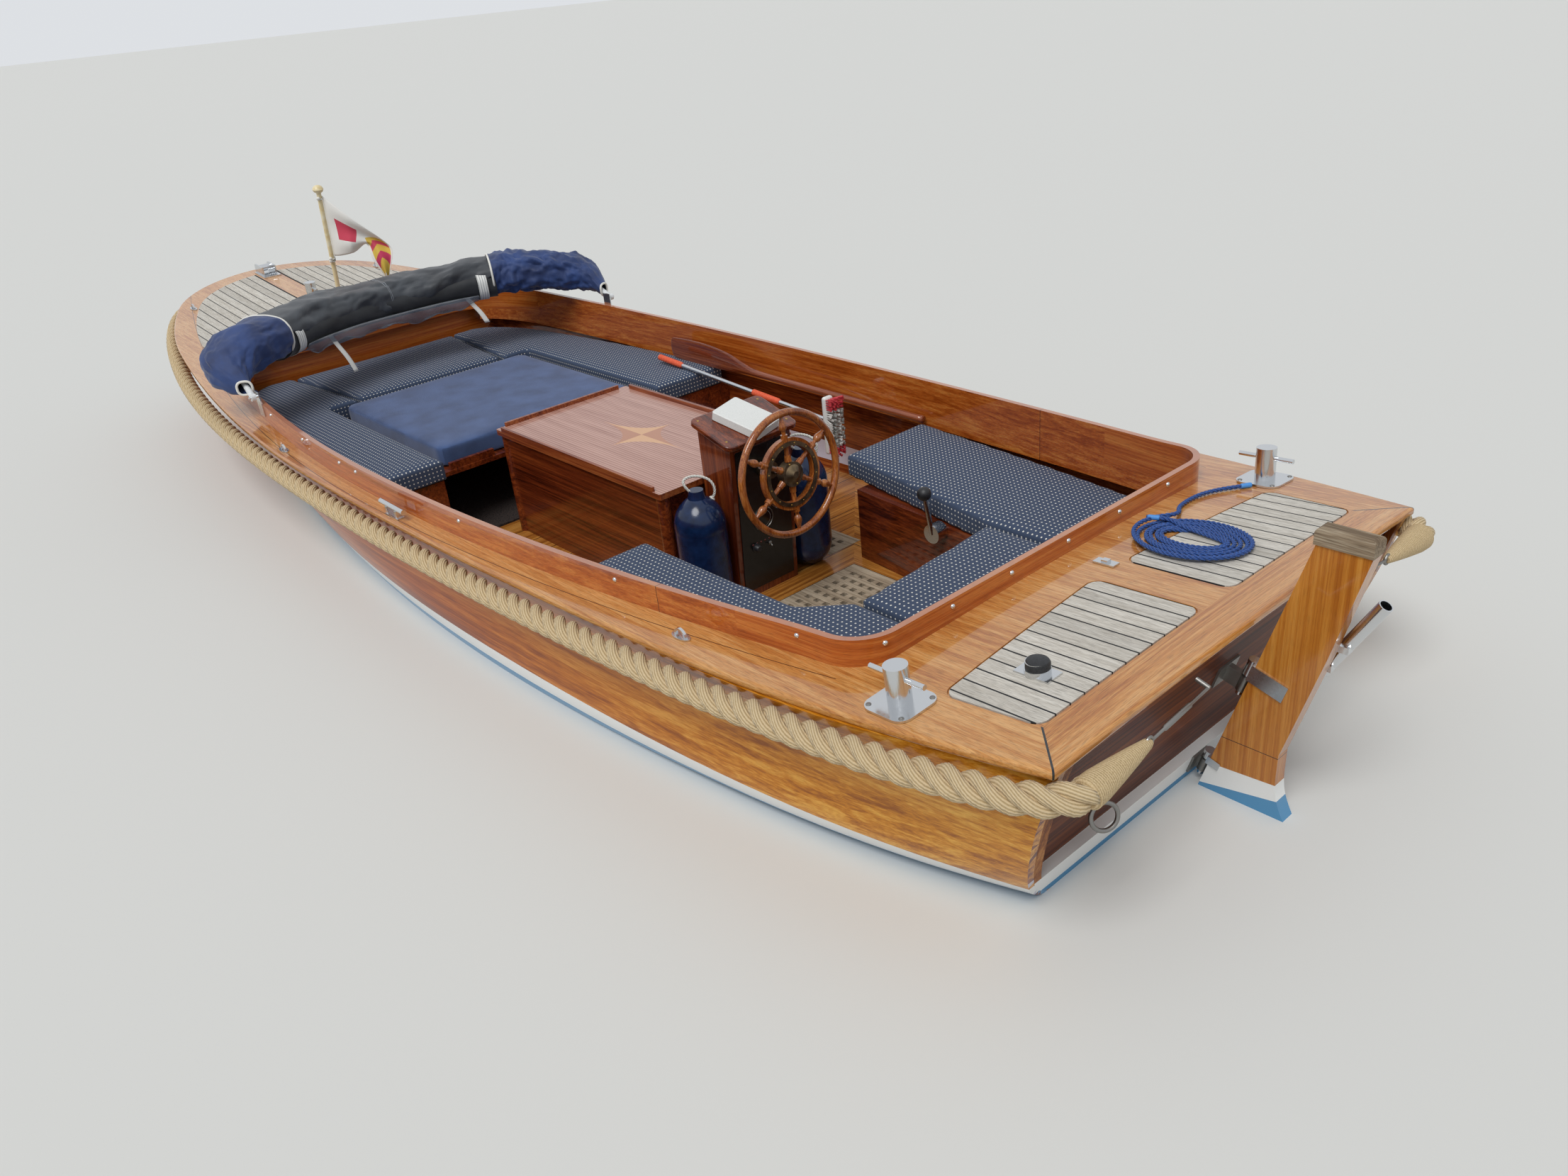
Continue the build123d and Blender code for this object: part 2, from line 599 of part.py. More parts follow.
# Wheel: rim, inner ring and turned spokes, all of wood. A spoke is one lathe profile.
SPOKE_FOOT = ((0, 13), (22, 11), (22, 8.5), (70.5, 8.5), (70.5, 12.5), (94, 12.5), (94, 7), (106, 7))
SPOKE_VASE = ((106, 7), (130, 13), (148, 7.5), (164, 8))
with BuildPart() as spoke:
    with BuildSketch(Plane((HUB_R + GAP, 0, 0))):
        with BuildLine():
            foot = Polyline(*SPOKE_FOOT)
            vase = Spline(*SPOKE_VASE)
            Polyline(vase @ 1, (SPOKE_VASE[-1][0], 0), (0, 0), foot @ 0)
        make_face()
    revolve(axis=Axis.X)
with BuildPart(wheel_plane) as wheel_wood:
    Torus(WHEEL_R, WHEEL_TUBE)
    Cylinder(INNER_RING_OUT, INNER_RING_T)
    Cylinder(INNER_RING_IN, INNER_RING_T, mode=Mode.SUBTRACT)
    with PolarLocations(0, WHEEL_SPOKES, start_angle=180 / WHEEL_SPOKES):
        add(spoke.part)
    Cylinder(HUB_R + GAP, 60, mode=Mode.SUBTRACT)
save(wheel_wood, "wheel_wood")

# Wheel's metal: the hub with its dome and shaft, and a ring on each face of the inner wooden ring
RING_T = 4.0
with BuildPart(wheel_plane) as wheel_hub:
    Cylinder(HUB_R, 34)
    with Locations((0, 0, 17)):
        Cone(34, 12, 16, align=(Align.CENTER, Align.CENTER, Align.MIN))
    with Locations((0, 0, -17)):
        Cylinder(SHAFT_R, 128, align=(Align.CENTER, Align.CENTER, Align.MAX))
    for z in (INNER_RING_T / 2 + GAP, -INNER_RING_T / 2 - GAP - RING_T):
        with BuildSketch(wheel_plane.offset(z)):
            Circle(114)
            Circle(99.5, mode=Mode.SUBTRACT)
        extrude(amount=RING_T)
save(wheel_hub, "wheel_hub")

# Throttle: a boss on the starboard seat's front, and its lever with a round knob
THROTTLE_X = -1905.0
THROTTLE_Z = 262.0
with BuildPart() as throttle:
    bar((THROTTLE_X, -350.4, THROTTLE_Z), (THROTTLE_X, -302, THROTTLE_Z), 34)
    bar((THROTTLE_X, -306, THROTTLE_Z), (THROTTLE_X + 17, -296, THROTTLE_Z + 140), 9)
    with Locations((THROTTLE_X + 19, -295, THROTTLE_Z + 150)):
        Sphere(22)
save(throttle, "throttle")

# Keel with its skeg and heel, and the stem that closes the bow
KEEL_HALF = 34.0
with BuildPart() as keel:
    with BuildSketch(Plane.XZ.offset(-KEEL_HALF)):
        with BuildLine():
            Polyline((3240, 560), (3345, 560), (3255, 360))
            fore_foot = Spline((3255, 360), (3150, 170), (3032, 0), (2905, -130), (2500, -265), (1700, -385),
                               (500, -455), (-1500, -515), tangents=[(-90, -200), (-2000, -55)])
            Polyline(fore_foot @ 1, (-3010, -540), (-3010, -508), (-2800, -500), (-2790, -60), (-1500, -200),
                     (0, -250), (1500, -200), (2500, -50), (2850, 100), (3100, 400), (3240, 560))
        make_face()
    extrude(amount=2 * KEEL_HALF)
    add(outer_form, mode=Mode.SUBTRACT)
    bar((axis_x(-560), 0, -560), (axis_x(-490), 0, -490), PIN_R + GAP, Mode.SUBTRACT)
    bar((-2600, 0, PROP_Z), (-2900, 0, PROP_Z), TUBE_R, Mode.SUBTRACT)
save(keel, "keel")
with BuildPart() as shaft_tube:
    bar((-2700, 0, PROP_Z), (-2826, 0, PROP_Z), TUBE_R - 0.1)
    bar((-2690, 0, PROP_Z), (-2900, 0, PROP_Z), SHAFT_R + 0.4, Mode.SUBTRACT)
save(shaft_tube, "shaft_tube")

# Propeller: pitched blades on a hub, with the shaft's end in the tube
BLADE_PITCH = 58.0
BLADE_T = 7.0
with BuildPart() as propeller:
    bar((PROP_X - 34, 0, PROP_Z), (PROP_X + 38, 0, PROP_Z), 30)
    bar((PROP_X + 30, 0, PROP_Z), (-2712, 0, PROP_Z), SHAFT_R)
    for k in range(BLADES):
        blade_plane = Plane(Location((PROP_X, 0, PROP_Z)) * Location((0, 0, 0), (360 / BLADES * k, 0, 0))
                            * Location((0, 0, 0), (0, BLADE_PITCH, 0)))
        with BuildSketch(blade_plane.offset(-BLADE_T / 2)):
            with Locations((0, PROP_R - 66)):
                Ellipse(46, 66)
        extrude(amount=BLADE_T)
save(propeller, "propeller")

# Rudder: one plate with a swept trailing edge, cut back round its hinges, and its cap
rake = atan2(-TRANSOM_SLOPE, 1)
stretch = sqrt(1 + TRANSOM_SLOPE ** 2)
hinge_plane = Plane(origin=(axis_x(0), 0, 0), x_dir=(cos(rake), 0, sin(rake)), z_dir=(-sin(rake), 0, cos(rake)))
lead = -(LEAD_GAP - AXIS_GAP) / stretch
CAP_T = 42.0
CAP_HALF = 27.0
HINGES = (
    # along the axis: strap from, strap to, gudgeon from, gudgeon to, reach of the strap along the
    # blade, how far ahead of the outer plane the gudgeon seats, half width of its plate
    (394, 442, 340, 388, 92, TRANSOM_IN, 46),
    (88, 112, 40, 82, 30, 0, 34),
)
with BuildPart() as rudder:
    with BuildSketch(Plane.XZ.offset(-RUDDER_HALF)):
        with BuildLine():
            head = Polyline((transom_x(RUDDER_TOP) - LEAD_GAP, RUDDER_TOP), (-3506, RUDDER_TOP), (-3436, 500),
                            (-3350, 190))
            belly = Spline(head @ 1, (-3356, 60), (-3432, -100), (-3420, -290), (-3240, -465), (-3120, RUDDER_LOW),
                           tangents=[(0, -1), (1, 0)])
            Polyline(belly @ 1, (transom_x(RUDDER_LOW) - LEAD_GAP, RUDDER_LOW), head @ 0)
        make_face()
    extrude(amount=2 * RUDDER_HALF)
    with Locations(hinge_plane):
        for _, _, low, high, *_ in HINGES:
            with Locations((0, 0, low - 22)):
                Cylinder(22, high - low + 30, align=(Align.CENTER, Align.CENTER, Align.MIN), mode=Mode.SUBTRACT)
save(rudder, "rudder")
with BuildPart() as rudder_cap:
    slab(-3508, -3372, -CAP_HALF, CAP_HALF, RUDDER_TOP + GAP, RUDDER_TOP + CAP_T)
    fillet(rudder_cap.faces().sort_by(Axis.Z)[-1].edges(), 14)
save(rudder_cap, "rudder_cap")

# Rudder straps with their pins, and the shoe's pin in the heel
with BuildPart(hinge_plane) as rudder_straps:
    for s0, s1, g0, _, reach, _, _ in HINGES:
        half = RUDDER_HALF + GAP
        slab(lead - reach, -8, half, half + STRAP_T, s0, s1)
        slab(lead - reach, -8, -half - STRAP_T, -half, s0, s1)
        slab(lead + 0.5, -8, -half - 1, half + 1, s0, s1)
        bar((0, 0, s0), (0, 0, s1), BARREL_R)
        bar((0, 0, g0 - 14), (0, 0, s0 + 1), PIN_R)
    slab(lead - 150, 8, -CAP_HALF, CAP_HALF, -512, -505)
    bar((0, 0, -548), (0, 0, -506), PIN_R)
save(rudder_straps, "rudder_straps")
with BuildPart(hinge_plane) as gudgeons:
    for _, _, g0, g1, _, seat, half in HINGES:
        face = (AXIS_GAP + seat) / stretch - GAP
        bar((0, 0, g0), (0, 0, g1), BARREL_R)
        slab(6, face, -9, 9, g0, g1)
        slab(face - 6, face, -half, half, g0 - 12, g1 + 4)
    for _, _, g0, g1, _, _, _ in HINGES:
        bar((0, 0, g0 - 14), (0, 0, g1 + 14), PIN_R + GAP, Mode.SUBTRACT)
save(gudgeons, "gudgeons")

# Tube for a flagstaff on the rudder's starboard face, held by two lugs
SOCKET_LOW = (-3398.0, -48.0, 425.0)
SOCKET_TOP = (-3520.0, -48.0, 645.0)
SOCKET_R = 17.0
SOCKET_BORE_R = 14.0
with BuildPart() as staff_socket:
    low, top = Vector(*SOCKET_LOW), Vector(*SOCKET_TOP)
    bar(low, top, SOCKET_R)
    for share in (0.12, 0.4):
        at = low + (top - low) * share
        slab(at.X - 16, at.X + 16, at.Y, -RUDDER_HALF - GAP, at.Z - 9, at.Z + 9)
    way = (top - low).normalized()
    bar(low + way * 28, top + way * 40, SOCKET_BORE_R, Mode.SUBTRACT)
save(staff_socket, "staff_socket")

# Rope fender: a path under the deck's edge, from the transom round the bow to the transom
ROPE_XY = ((-3306, 760), (-3290, 842), (-2900, 932), (-2500, 979), (-2100, 1011), (-1200, 1052), (-300, 1071),
           (600, 1066), (1300, 1034), (1900, 966), (2400, 864), (2760, 762), (3040, 648), (3210, 520),
           (3340, 370), (3430, 190), (3466, 0))
# Mooring line's tail: along the deck from the coil to the starboard bollard's foot
TAIL_XY = ((-2762, -358), (-2756, -398), (-2752, -448), (-2744, -498), (-2744, -548), (-2752, -598), (-2772, -645),
           (-2800, -690), (-2824, -727))


def bend_radii(points):
    """Radius at each inner point: the arc takes 0.45 of the shorter run beside it."""
    radii = []
    for before, at, after in zip(points, points[1:], points[2:]):
        u, v = Vector(*at) - Vector(*before), Vector(*after) - Vector(*at)
        radii.append(0.45 * min(u.length, v.length) / tan(radians(u.get_angle(v)) / 2))
    return radii


port_side = [(x, y, deck_z(x, y) - ROPE_DROP) for x, y in ROPE_XY]
starboard_side = [(x, -y, z) for x, y, z in reversed(port_side[:-1])]
tail = [(x, y, deck_z(x, y) + LINE_R + 1.4) for x, y in TAIL_XY]
for name, points, radius in (("rope_fender", port_side + starboard_side, ROPE_R), ("mooring_tail", tail, LINE_R)):
    print(name, "radii", [round(r) for r in bend_radii(points)])
    with BuildPart() as rope:
        with BuildLine():
            run = FilletPolyline(*points, radius=bend_radii(points))
        with BuildSketch(Plane(origin=run @ 0, z_dir=run % 0)):
            Circle(radius)
        sweep()
    save(rope, name)

# Rope fender's ends: a whipped cone to a shackle, and a rod to a hook under the deck's edge
with BuildPart() as rope_ends:
    rope_start, rope_next = Vector(*port_side[0]), Vector(*port_side[1])
    way = (rope_start - rope_next).normalized()
    tip = Vector(-3312, 548, 498)
    with BuildSketch(Plane(origin=rope_start + way * GAP, z_dir=way)):
        Circle(ROPE_R - 1)
    with BuildSketch(Plane(origin=tip, z_dir=tip - rope_start)):
        Circle(12)
    loft()
    bar(tip, (-3300, 300, 508), 5)
    bar((-3300, 300, 504), (STERN_X, 300, 520), 6)
    mirror(about=Plane.XZ)
save(rope_ends, "rope_ends")

# Bollards: a round post with a thin cross pin, on a square base with round corners
BOLLARDS = (
    # x, y, height
    (-2824, 806, 104),
    (-2824, -806, 104),
    (2600, 0, 92),
)
POST_R = 30.0
with BuildPart() as bollards:
    for x, y, high in BOLLARDS:
        seat = deck_seat(x, y)
        with BuildSketch(seat):
            RectangleRounded(138, 138, 34)
        extrude(amount=6)
        with BuildSketch(seat):
            Circle(POST_R)
        extrude(amount=high)
        bar(seat.from_local_coords((-86, 0, high * 0.7)), seat.from_local_coords((86, 0, high * 0.7)), 7)
save(bollards, "bollards")

# Deck fittings: two cleats, six eyes, the filler with its cap, and the hatch latch
CLEATS = ((-545, 1008), (-545, -1008))
EYES = ((-2118, 912), (511, 1008), (2960, 560))
with BuildPart() as deck_fittings:
    for x, y in CLEATS:
        with Locations(deck_seat(x, y)):
            Box(104, 28, 4, align=(Align.CENTER, Align.CENTER, Align.MIN))
            with Locations((-37, 0, 0), (37, 0, 0)):
                Box(16, 22, 30, align=(Align.CENTER, Align.CENTER, Align.MIN))
            with Locations(Location((0, 0, 36), (0, 90, 0))):
                Cylinder(10, 184)
    for x, half in EYES:
        for y in (half, -half):
            with BuildSketch(deck_seat(x, y)):
                Ellipse(38, 15)
            extrude(amount=4)
            with BuildSketch(Plane(deck_seat(x, y).location * Location((0, 4, 0), (90, 0, 0)))):
                with Locations((0, 4)):
                    Circle(24)
                    Circle(17, mode=Mode.SUBTRACT)
                with Locations((0, -26)):
                    Rectangle(80, 60, mode=Mode.SUBTRACT)
            extrude(amount=8)
    with Locations(deck_seat(-3002, 532)):
        Box(100, 56, 5, align=(Align.CENTER, Align.CENTER, Align.MIN))
        Cylinder(32, 16, align=(Align.CENTER, Align.CENTER, Align.MIN))
        Cylinder(28, 34, align=(Align.CENTER, Align.CENTER, Align.MIN))
    with Locations(deck_seat(-2798, -26)):
        Box(66, 30, 5, align=(Align.CENTER, Align.CENTER, Align.MIN))
        Box(20, 18, 12, align=(Align.CENTER, Align.CENTER, Align.MIN))
save(deck_fittings, "deck_fittings")

# Bow fairlead: two cheeks on a plate, and a roller between them
ROLLER_HIGH = 34.0
with BuildPart(deck_seat(3270, 0)) as fairlead:
    slab(-75, 85, -52, 52, 0, 6)
    slab(-40, 84, 34, 42, 0, 58)
    slab(-40, 84, -42, -34, 0, 58)
    fillet(fairlead.edges().filter_by(Axis.Y).group_by(Axis.Z)[-1], 18)
    bar((40, -34, ROLLER_HIGH), (40, 34, ROLLER_HIGH), 20)
save(fairlead, "fairlead")

# Ring on the transom, hung from an eye bolt in the panel, and the oval skin fitting beside it
RING_Y = 591.0
RING_Z = 291.0
SKIN_Y = 332.0
SKIN_Z = 330.0
with BuildPart() as transom_ring:
    eye = Vector(transom_x(RING_Z) + TRANSOM_IN - 2.6, RING_Y, RING_Z)
    bar(eye, eye - Vector(46, 0, 0), 7)
    hoop_plane = Plane(origin=eye - Vector(47, 3, 41), x_dir=(0, 0, 1), z_dir=(sin(radians(70)), cos(radians(70)), 0))
    with Locations(hoop_plane):
        Torus(40, 6)
    with BuildSketch(Plane(origin=(transom_x(SKIN_Z) + TRANSOM_IN - GAP, SKIN_Y, SKIN_Z), x_dir=(0, 1, 0),
                           z_dir=(-1, 0, TRANSOM_SLOPE))):
        Ellipse(34, 24)
        Ellipse(17, 11, mode=Mode.SUBTRACT)
    extrude(amount=9)
save(transom_ring, "transom_ring")

# Coil of mooring line on the aft deck
with BuildPart() as mooring_coil:
    with BuildSketch(deck_seat(COIL_X, COIL_Y)):
        Ellipse(COIL_LONG, COIL_WIDE)
        Ellipse(72, 42, mode=Mode.SUBTRACT)
    extrude(amount=COIL_HIGH)
save(mooring_coil, "mooring_coil")

# Flagstaff with its truck, stepped on the foredeck
with BuildPart() as flagstaff:
    staff_foot = Vector(STAFF_FOOT_X, 0, deck_z(STAFF_FOOT_X) + 0.5)
    staff_top = Vector(STAFF_TOP_X, 0, STAFF_TOP_Z)
    bar(staff_foot, staff_top, STAFF_R)
    bar(staff_top, staff_top + (staff_top - staff_foot).normalized() * 16, STAFF_R + 5)
    add(sheer_band(GAP, -60), mode=Mode.SUBTRACT)
save(flagstaff, "flagstaff")

# Pennant, hung limp from the top of the staff: a plain solid with its hoist against the staff
HOIST = 320.0
HOIST_DROP = 30.0
PENNANT_TIP = (-150, -187, -450)
PENNANT_T = 8.0
down = (staff_foot - staff_top).normalized()
hoist_top = staff_top + down * HOIST_DROP
pennant_plane = Plane(origin=hoist_top, x_dir=down, z_dir=down.cross(Vector(*PENNANT_TIP)))
with BuildPart() as pennant:
    with BuildSketch(pennant_plane.offset(-PENNANT_T / 2)):
        tip = pennant_plane.to_local_coords(hoist_top + Vector(*PENNANT_TIP))
        seam = STAFF_R + GAP
        Polygon((0, seam), (HOIST, seam), (tip.X, tip.Y), (HOIST * 0.55, tip.Y * 0.72), align=None)
    extrude(amount=PENNANT_T)
save(pennant, "pennant")

# Fenders that stand beside the console, each a lathe profile with a neck at its top
FENDER_R = 92.0
FENDER_X = -1311.0
with BuildPart() as fenders:
    for y in (CONSOLE_HALF + FENDER_R + 8, -CONSOLE_HALF - FENDER_R - 20):
        with BuildSketch(Plane(origin=(FENDER_X, y, SOLE_Z + GAP), x_dir=(1, 0, 0), z_dir=(0, -1, 0))):
            with BuildLine():
                Polyline((0, 468), (0, 0), (30, 0), (44, 6))
                ThreePointArc((44, 6), (84, 52), (FENDER_R, 102))
                Line((FENDER_R, 102), (FENDER_R, 322))
                ThreePointArc((FENDER_R, 322), (78, 392), (32, 438))
                Polyline((32, 438), (26, 468), (0, 468))
            make_face()
        revolve(axis=Axis((FENDER_X, y, 0), (0, 0, 1)))
save(fenders, "fenders")

# Paddle and brush on the starboard side
with BuildPart() as paddle:
    bar((-240, -880, 404), (-1345, -880, 390.3), 15)
    slab(-250, 330, -887, -873, 375.3, 487)
    fillet(paddle.edges().filter_by(Axis.Y).group_by(Axis.X)[-1], 28)
save(paddle, "paddle")
with BuildPart() as brush:
    bar((300, -780, 410), (-870, -800, 314.5), 11)
    slab(-905, -865, -862, -712, 262, 352)
save(brush, "brush")

# Folded hood: the bundle across the foredeck, in sections from port to starboard
HOOD = (
    # y, x, z, width, height, turn in plan
    (1000, 1045, 640, 96, 84, 62),
    (905, 1150, 696, 200, 150, 50),
    (640, 1370, 742, 264, 172, 30),
    (330, 1500, 750, 286, 170, 14),
    (0, 1550, 745, 290, 166, 0),
)
LEG_TOP_X, LEG_TOP_Y, LEG_TOP_Z = 1140.0, 930.0, 684.0
starboard_hood = [(-y, x, z, wide, high, -turn) for y, x, z, wide, high, turn in reversed(HOOD[:-1])]
with BuildPart() as hood:
    for y, x, z, wide, high, turn in list(HOOD) + starboard_hood:
        turned = radians(turn)
        with BuildSketch(Plane(origin=(x, y, z), x_dir=(cos(turned), sin(turned), 0),
                               z_dir=(sin(turned), -cos(turned), 0))):
            RectangleRounded(wide, high, min(wide, high) * 0.42)
    loft(ruled=True)
    for side in (1, -1):
        bar((FOOT_X, side * FOOT_Y, FOOT_Z), (LEG_TOP_X + 1, side * LEG_TOP_Y, LEG_TOP_Z + 0.4),
            HOOD_LEG_R + GAP, Mode.SUBTRACT)
save(hood, "hood")

# Hood's legs, with a knuckle round each pin, and the feet that the pins stand in
with BuildPart() as hood_legs:
    for side in (1, -1):
        bar((FOOT_X, side * FOOT_Y, FOOT_Z), (LEG_TOP_X, side * LEG_TOP_Y, LEG_TOP_Z), HOOD_LEG_R)
        bar((FOOT_X, side * (FOOT_Y - 10), FOOT_Z), (FOOT_X, side * (FOOT_Y + 10), FOOT_Z), HOOD_LEG_R + 3)
    for side in (1, -1):
        bar((FOOT_X, side * (FOOT_Y - 40), FOOT_Z), (FOOT_X, side * (FOOT_Y + 40), FOOT_Z), HOOD_PIN_R + GAP,
            Mode.SUBTRACT)
save(hood_legs, "hood_legs")
with BuildPart() as hood_feet:
    for side in (1, -1):
        bar((FOOT_X, side * (FOOT_Y - 24), FOOT_Z), (FOOT_X, side * (FOOT_Y + 18), FOOT_Z), HOOD_PIN_R)
        slab(FOOT_X - 26, FOOT_X + 26, side * (FOOT_Y - 45), side * (FOOT_Y - 18), 500, FOOT_Z + 22)
    prism(coaming_grown.sketch, DEEP, HIGH, Mode.SUBTRACT)
save(hood_feet, "hood_feet")
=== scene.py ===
import math

import bpy
from mathutils import Matrix, Vector, noise


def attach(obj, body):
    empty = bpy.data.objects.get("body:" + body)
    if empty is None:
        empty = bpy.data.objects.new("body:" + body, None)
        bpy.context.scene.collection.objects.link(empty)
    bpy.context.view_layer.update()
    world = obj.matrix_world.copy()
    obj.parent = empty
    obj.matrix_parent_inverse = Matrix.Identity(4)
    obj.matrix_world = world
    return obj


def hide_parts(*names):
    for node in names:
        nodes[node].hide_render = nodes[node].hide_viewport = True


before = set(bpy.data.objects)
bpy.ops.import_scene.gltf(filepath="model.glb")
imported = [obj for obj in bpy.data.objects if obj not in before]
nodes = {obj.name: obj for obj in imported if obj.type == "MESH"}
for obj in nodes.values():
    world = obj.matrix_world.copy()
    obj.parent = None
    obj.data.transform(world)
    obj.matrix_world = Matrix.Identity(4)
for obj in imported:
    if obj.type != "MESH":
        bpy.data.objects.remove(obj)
bpy.ops.object.select_all(action="DESELECT")
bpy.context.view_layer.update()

# Studio: the camera stands where the photographer stood on the jetty, off the port quarter.
# A pale floor lies at the waterline, with a white sky and a wide soft sun over the port side.
CAMERA_AT = Vector((-4.4591, 2.4296, 2.0343))
YAW, PITCH, ROLL = (math.radians(a) for a in (-38.857, -27.396, -6.023))
FOCAL_PIXELS = 1677.28
PHOTO_WIDE = 2212
FLOOR_HEX = "#DADAD6"
SKY_HEX = "#E8EBEF"
SKY_LIGHT = 0.56
SUN_STRENGTH = 1.75
SUN_ANGLE = 30
SUN_FROM = (-0.35, 0.75, 1.3)


def linear(code):
    """Linear colour of an sRGB hex value."""
    parts = [int(code[i:i + 2], 16) / 255 for i in (1, 3, 5)]
    return [c / 12.92 if c <= 0.04045 else ((c + 0.055) / 1.055) ** 2.4 for c in parts] + [1.0]


def add_node(tree, kind, inputs=None, stops=None, **settings):
    """Adds a shader node with its settings, its colour stops and its inputs' values or links."""
    made = tree.nodes.new("ShaderNode" + kind)
    for name, value in settings.items():
        setattr(made, name, value)
    if stops:
        points = made.color_ramp.elements
        while len(points) < len(stops):
            points.new(0.5)
        for point, (place, code) in zip(points, stops):
            point.position = place
            point.color = linear(code)
    for socket, value in (inputs or {}).items():
        if isinstance(value, bpy.types.NodeSocket):
            tree.links.new(value, made.inputs[socket])
        else:
            made.inputs[socket].default_value = value
    return made


def new_material(name, **values):
    """A material, its node tree and its shader, with the shader's plain values set."""
    made = bpy.data.materials.new(name)
    made.use_nodes = True
    shader = made.node_tree.nodes["Principled BSDF"]
    for socket, value in values.items():
        shader.inputs[socket.replace("_", " ").title().replace("Ior", "IOR")].default_value = value
    return made, made.node_tree, shader


lens = bpy.data.cameras.new("photograph")
lens.sensor_width = 36.0
lens.lens = FOCAL_PIXELS / PHOTO_WIDE * lens.sensor_width
lens.clip_end = 500
camera = bpy.data.objects.new("photograph", lens)
bpy.context.scene.collection.objects.link(camera)
ahead = Vector((math.cos(PITCH) * math.cos(YAW), math.cos(PITCH) * math.sin(YAW), math.sin(PITCH)))
right = Vector((math.sin(YAW), -math.cos(YAW), 0))
up = right.cross(ahead)
tilt_cos, tilt_sin = math.cos(ROLL), math.sin(ROLL)
right, up = tilt_cos * right + tilt_sin * up, tilt_cos * up - tilt_sin * right
stand = Matrix((right, up, -ahead)).transposed().to_4x4()
stand.translation = CAMERA_AT
camera.matrix_world = stand
bpy.context.scene.camera = camera
bpy.context.scene.view_settings.view_transform = "Standard"

WATERLINE_STEPS = 40
AFT_X, STEM_X = -3.085, 2.960
IN_PLANK = 0.012
port_line = []
for i in range(WATERLINE_STEPS + 1):
    x = AFT_X + (STEM_X - AFT_X) * i / WATERLINE_STEPS
    found, place, _, _ = nodes["hull_sides"].ray_cast(Vector((x, 2, 0.001)), Vector((0, -1, 0)))
    port_line.append((x, place.y - IN_PLANK, 0))
waterline = port_line + [(x, -y, 0) for x, y, _ in reversed(port_line)]
bpy.ops.mesh.primitive_circle_add(vertices=96, radius=220, location=(0, 0, 0))
floor = bpy.context.object
floor.name = "floor"
outline = bpy.data.meshes.new("waterline")
outline.from_pydata(waterline, [(i, (i + 1) % len(waterline)) for i in range(len(waterline))], [])
hole = bpy.data.objects.new("waterline", outline)
bpy.context.scene.collection.objects.link(hole)
hole.select_set(True)
floor.select_set(True)
bpy.context.view_layer.objects.active = floor
bpy.ops.object.join()
bpy.ops.object.mode_set(mode="EDIT")
bpy.ops.mesh.select_all(action="SELECT")
bpy.ops.mesh.fill()
bpy.ops.mesh.normals_make_consistent(inside=False)
bpy.ops.object.mode_set(mode="OBJECT")
bpy.ops.object.select_all(action="DESELECT")
floor_paint, tree, shader = new_material("floor_paint", roughness=0.9)
shader.inputs["Base Color"].default_value = linear(FLOOR_HEX)
floor.data.materials.append(floor_paint)

world = bpy.data.worlds.new("sky")
bpy.context.scene.world = world
world.use_nodes = True
tree = world.node_tree
rays = add_node(tree, "LightPath")
seen = add_node(tree, "Math", {0: rays.outputs["Is Camera Ray"], 1: rays.outputs["Is Glossy Ray"]},
                operation="MAXIMUM")
seen = add_node(tree, "Math", {0: seen.outputs[0], 1: rays.outputs["Is Transmission Ray"]},
                operation="MAXIMUM")
strength = add_node(tree, "Math", {0: seen.outputs[0], 1: 0.9 - SKY_LIGHT, 2: SKY_LIGHT},
                    operation="MULTIPLY_ADD")
tree.nodes["Background"].inputs["Color"].default_value = linear(SKY_HEX)
tree.links.new(strength.outputs[0], tree.nodes["Background"].inputs["Strength"])

bpy.ops.object.light_add(type="SUN", location=(0, 0, 8))
lamp = bpy.context.object
lamp.data.angle = math.radians(SUN_ANGLE)
lamp.data.energy = SUN_STRENGTH
lamp.rotation_euler = Vector(SUN_FROM).to_track_quat("Z", "Y").to_euler()
bpy.ops.object.select_all(action="DESELECT")


# Mooring line: 14 mm three-strand polyester, about 5 m of it, laid down in six loose oval turns
# on the aft deck. One end lies against the starboard bollard's foot; light-blue tape whips the ends.
LINE_R = 0.007
LINE_LAY = 0.046
LINE_LIFT = 0.0014
# Blues of the line, from the painted shade of its grooves to the painted highlight on its yarns.
LINE_HEX = ("#081A44", "#153A82", "#3564B0")
TAIL_XY = ((-2824, -727), (-2800, -690), (-2772, -645), (-2752, -598), (-2744, -548), (-2744, -498),
           (-2752, -448))
TURNS = (
    # half length, half width, centre x, centre y, height above the deck
    (176, 141, -2914, -268, 22),
    (160, 128, -2908, -262, 8),
    (143, 108, -2916, -268, 8),
    (127, 91, -2908, -270, 8),
    (111, 74, -2912, -268, 8),
    (95, 56, -2908, -272, 8),
)
TURN_POINTS = 14
TURN_START = -50
END_XY = ((-2836, -322, 13), (-2800, -330, 22), (-2770, -318, 23), (-2738, -306, 23))


def deck_top(x, y, *names):
    """Height of the topmost of the named CAD nodes at a place."""
    hits = [nodes[name].ray_cast(Vector((x, y, 2)), Vector((0, 0, -1))) for name in names]
    return max(place.z for found, place, _, _ in hits if found)


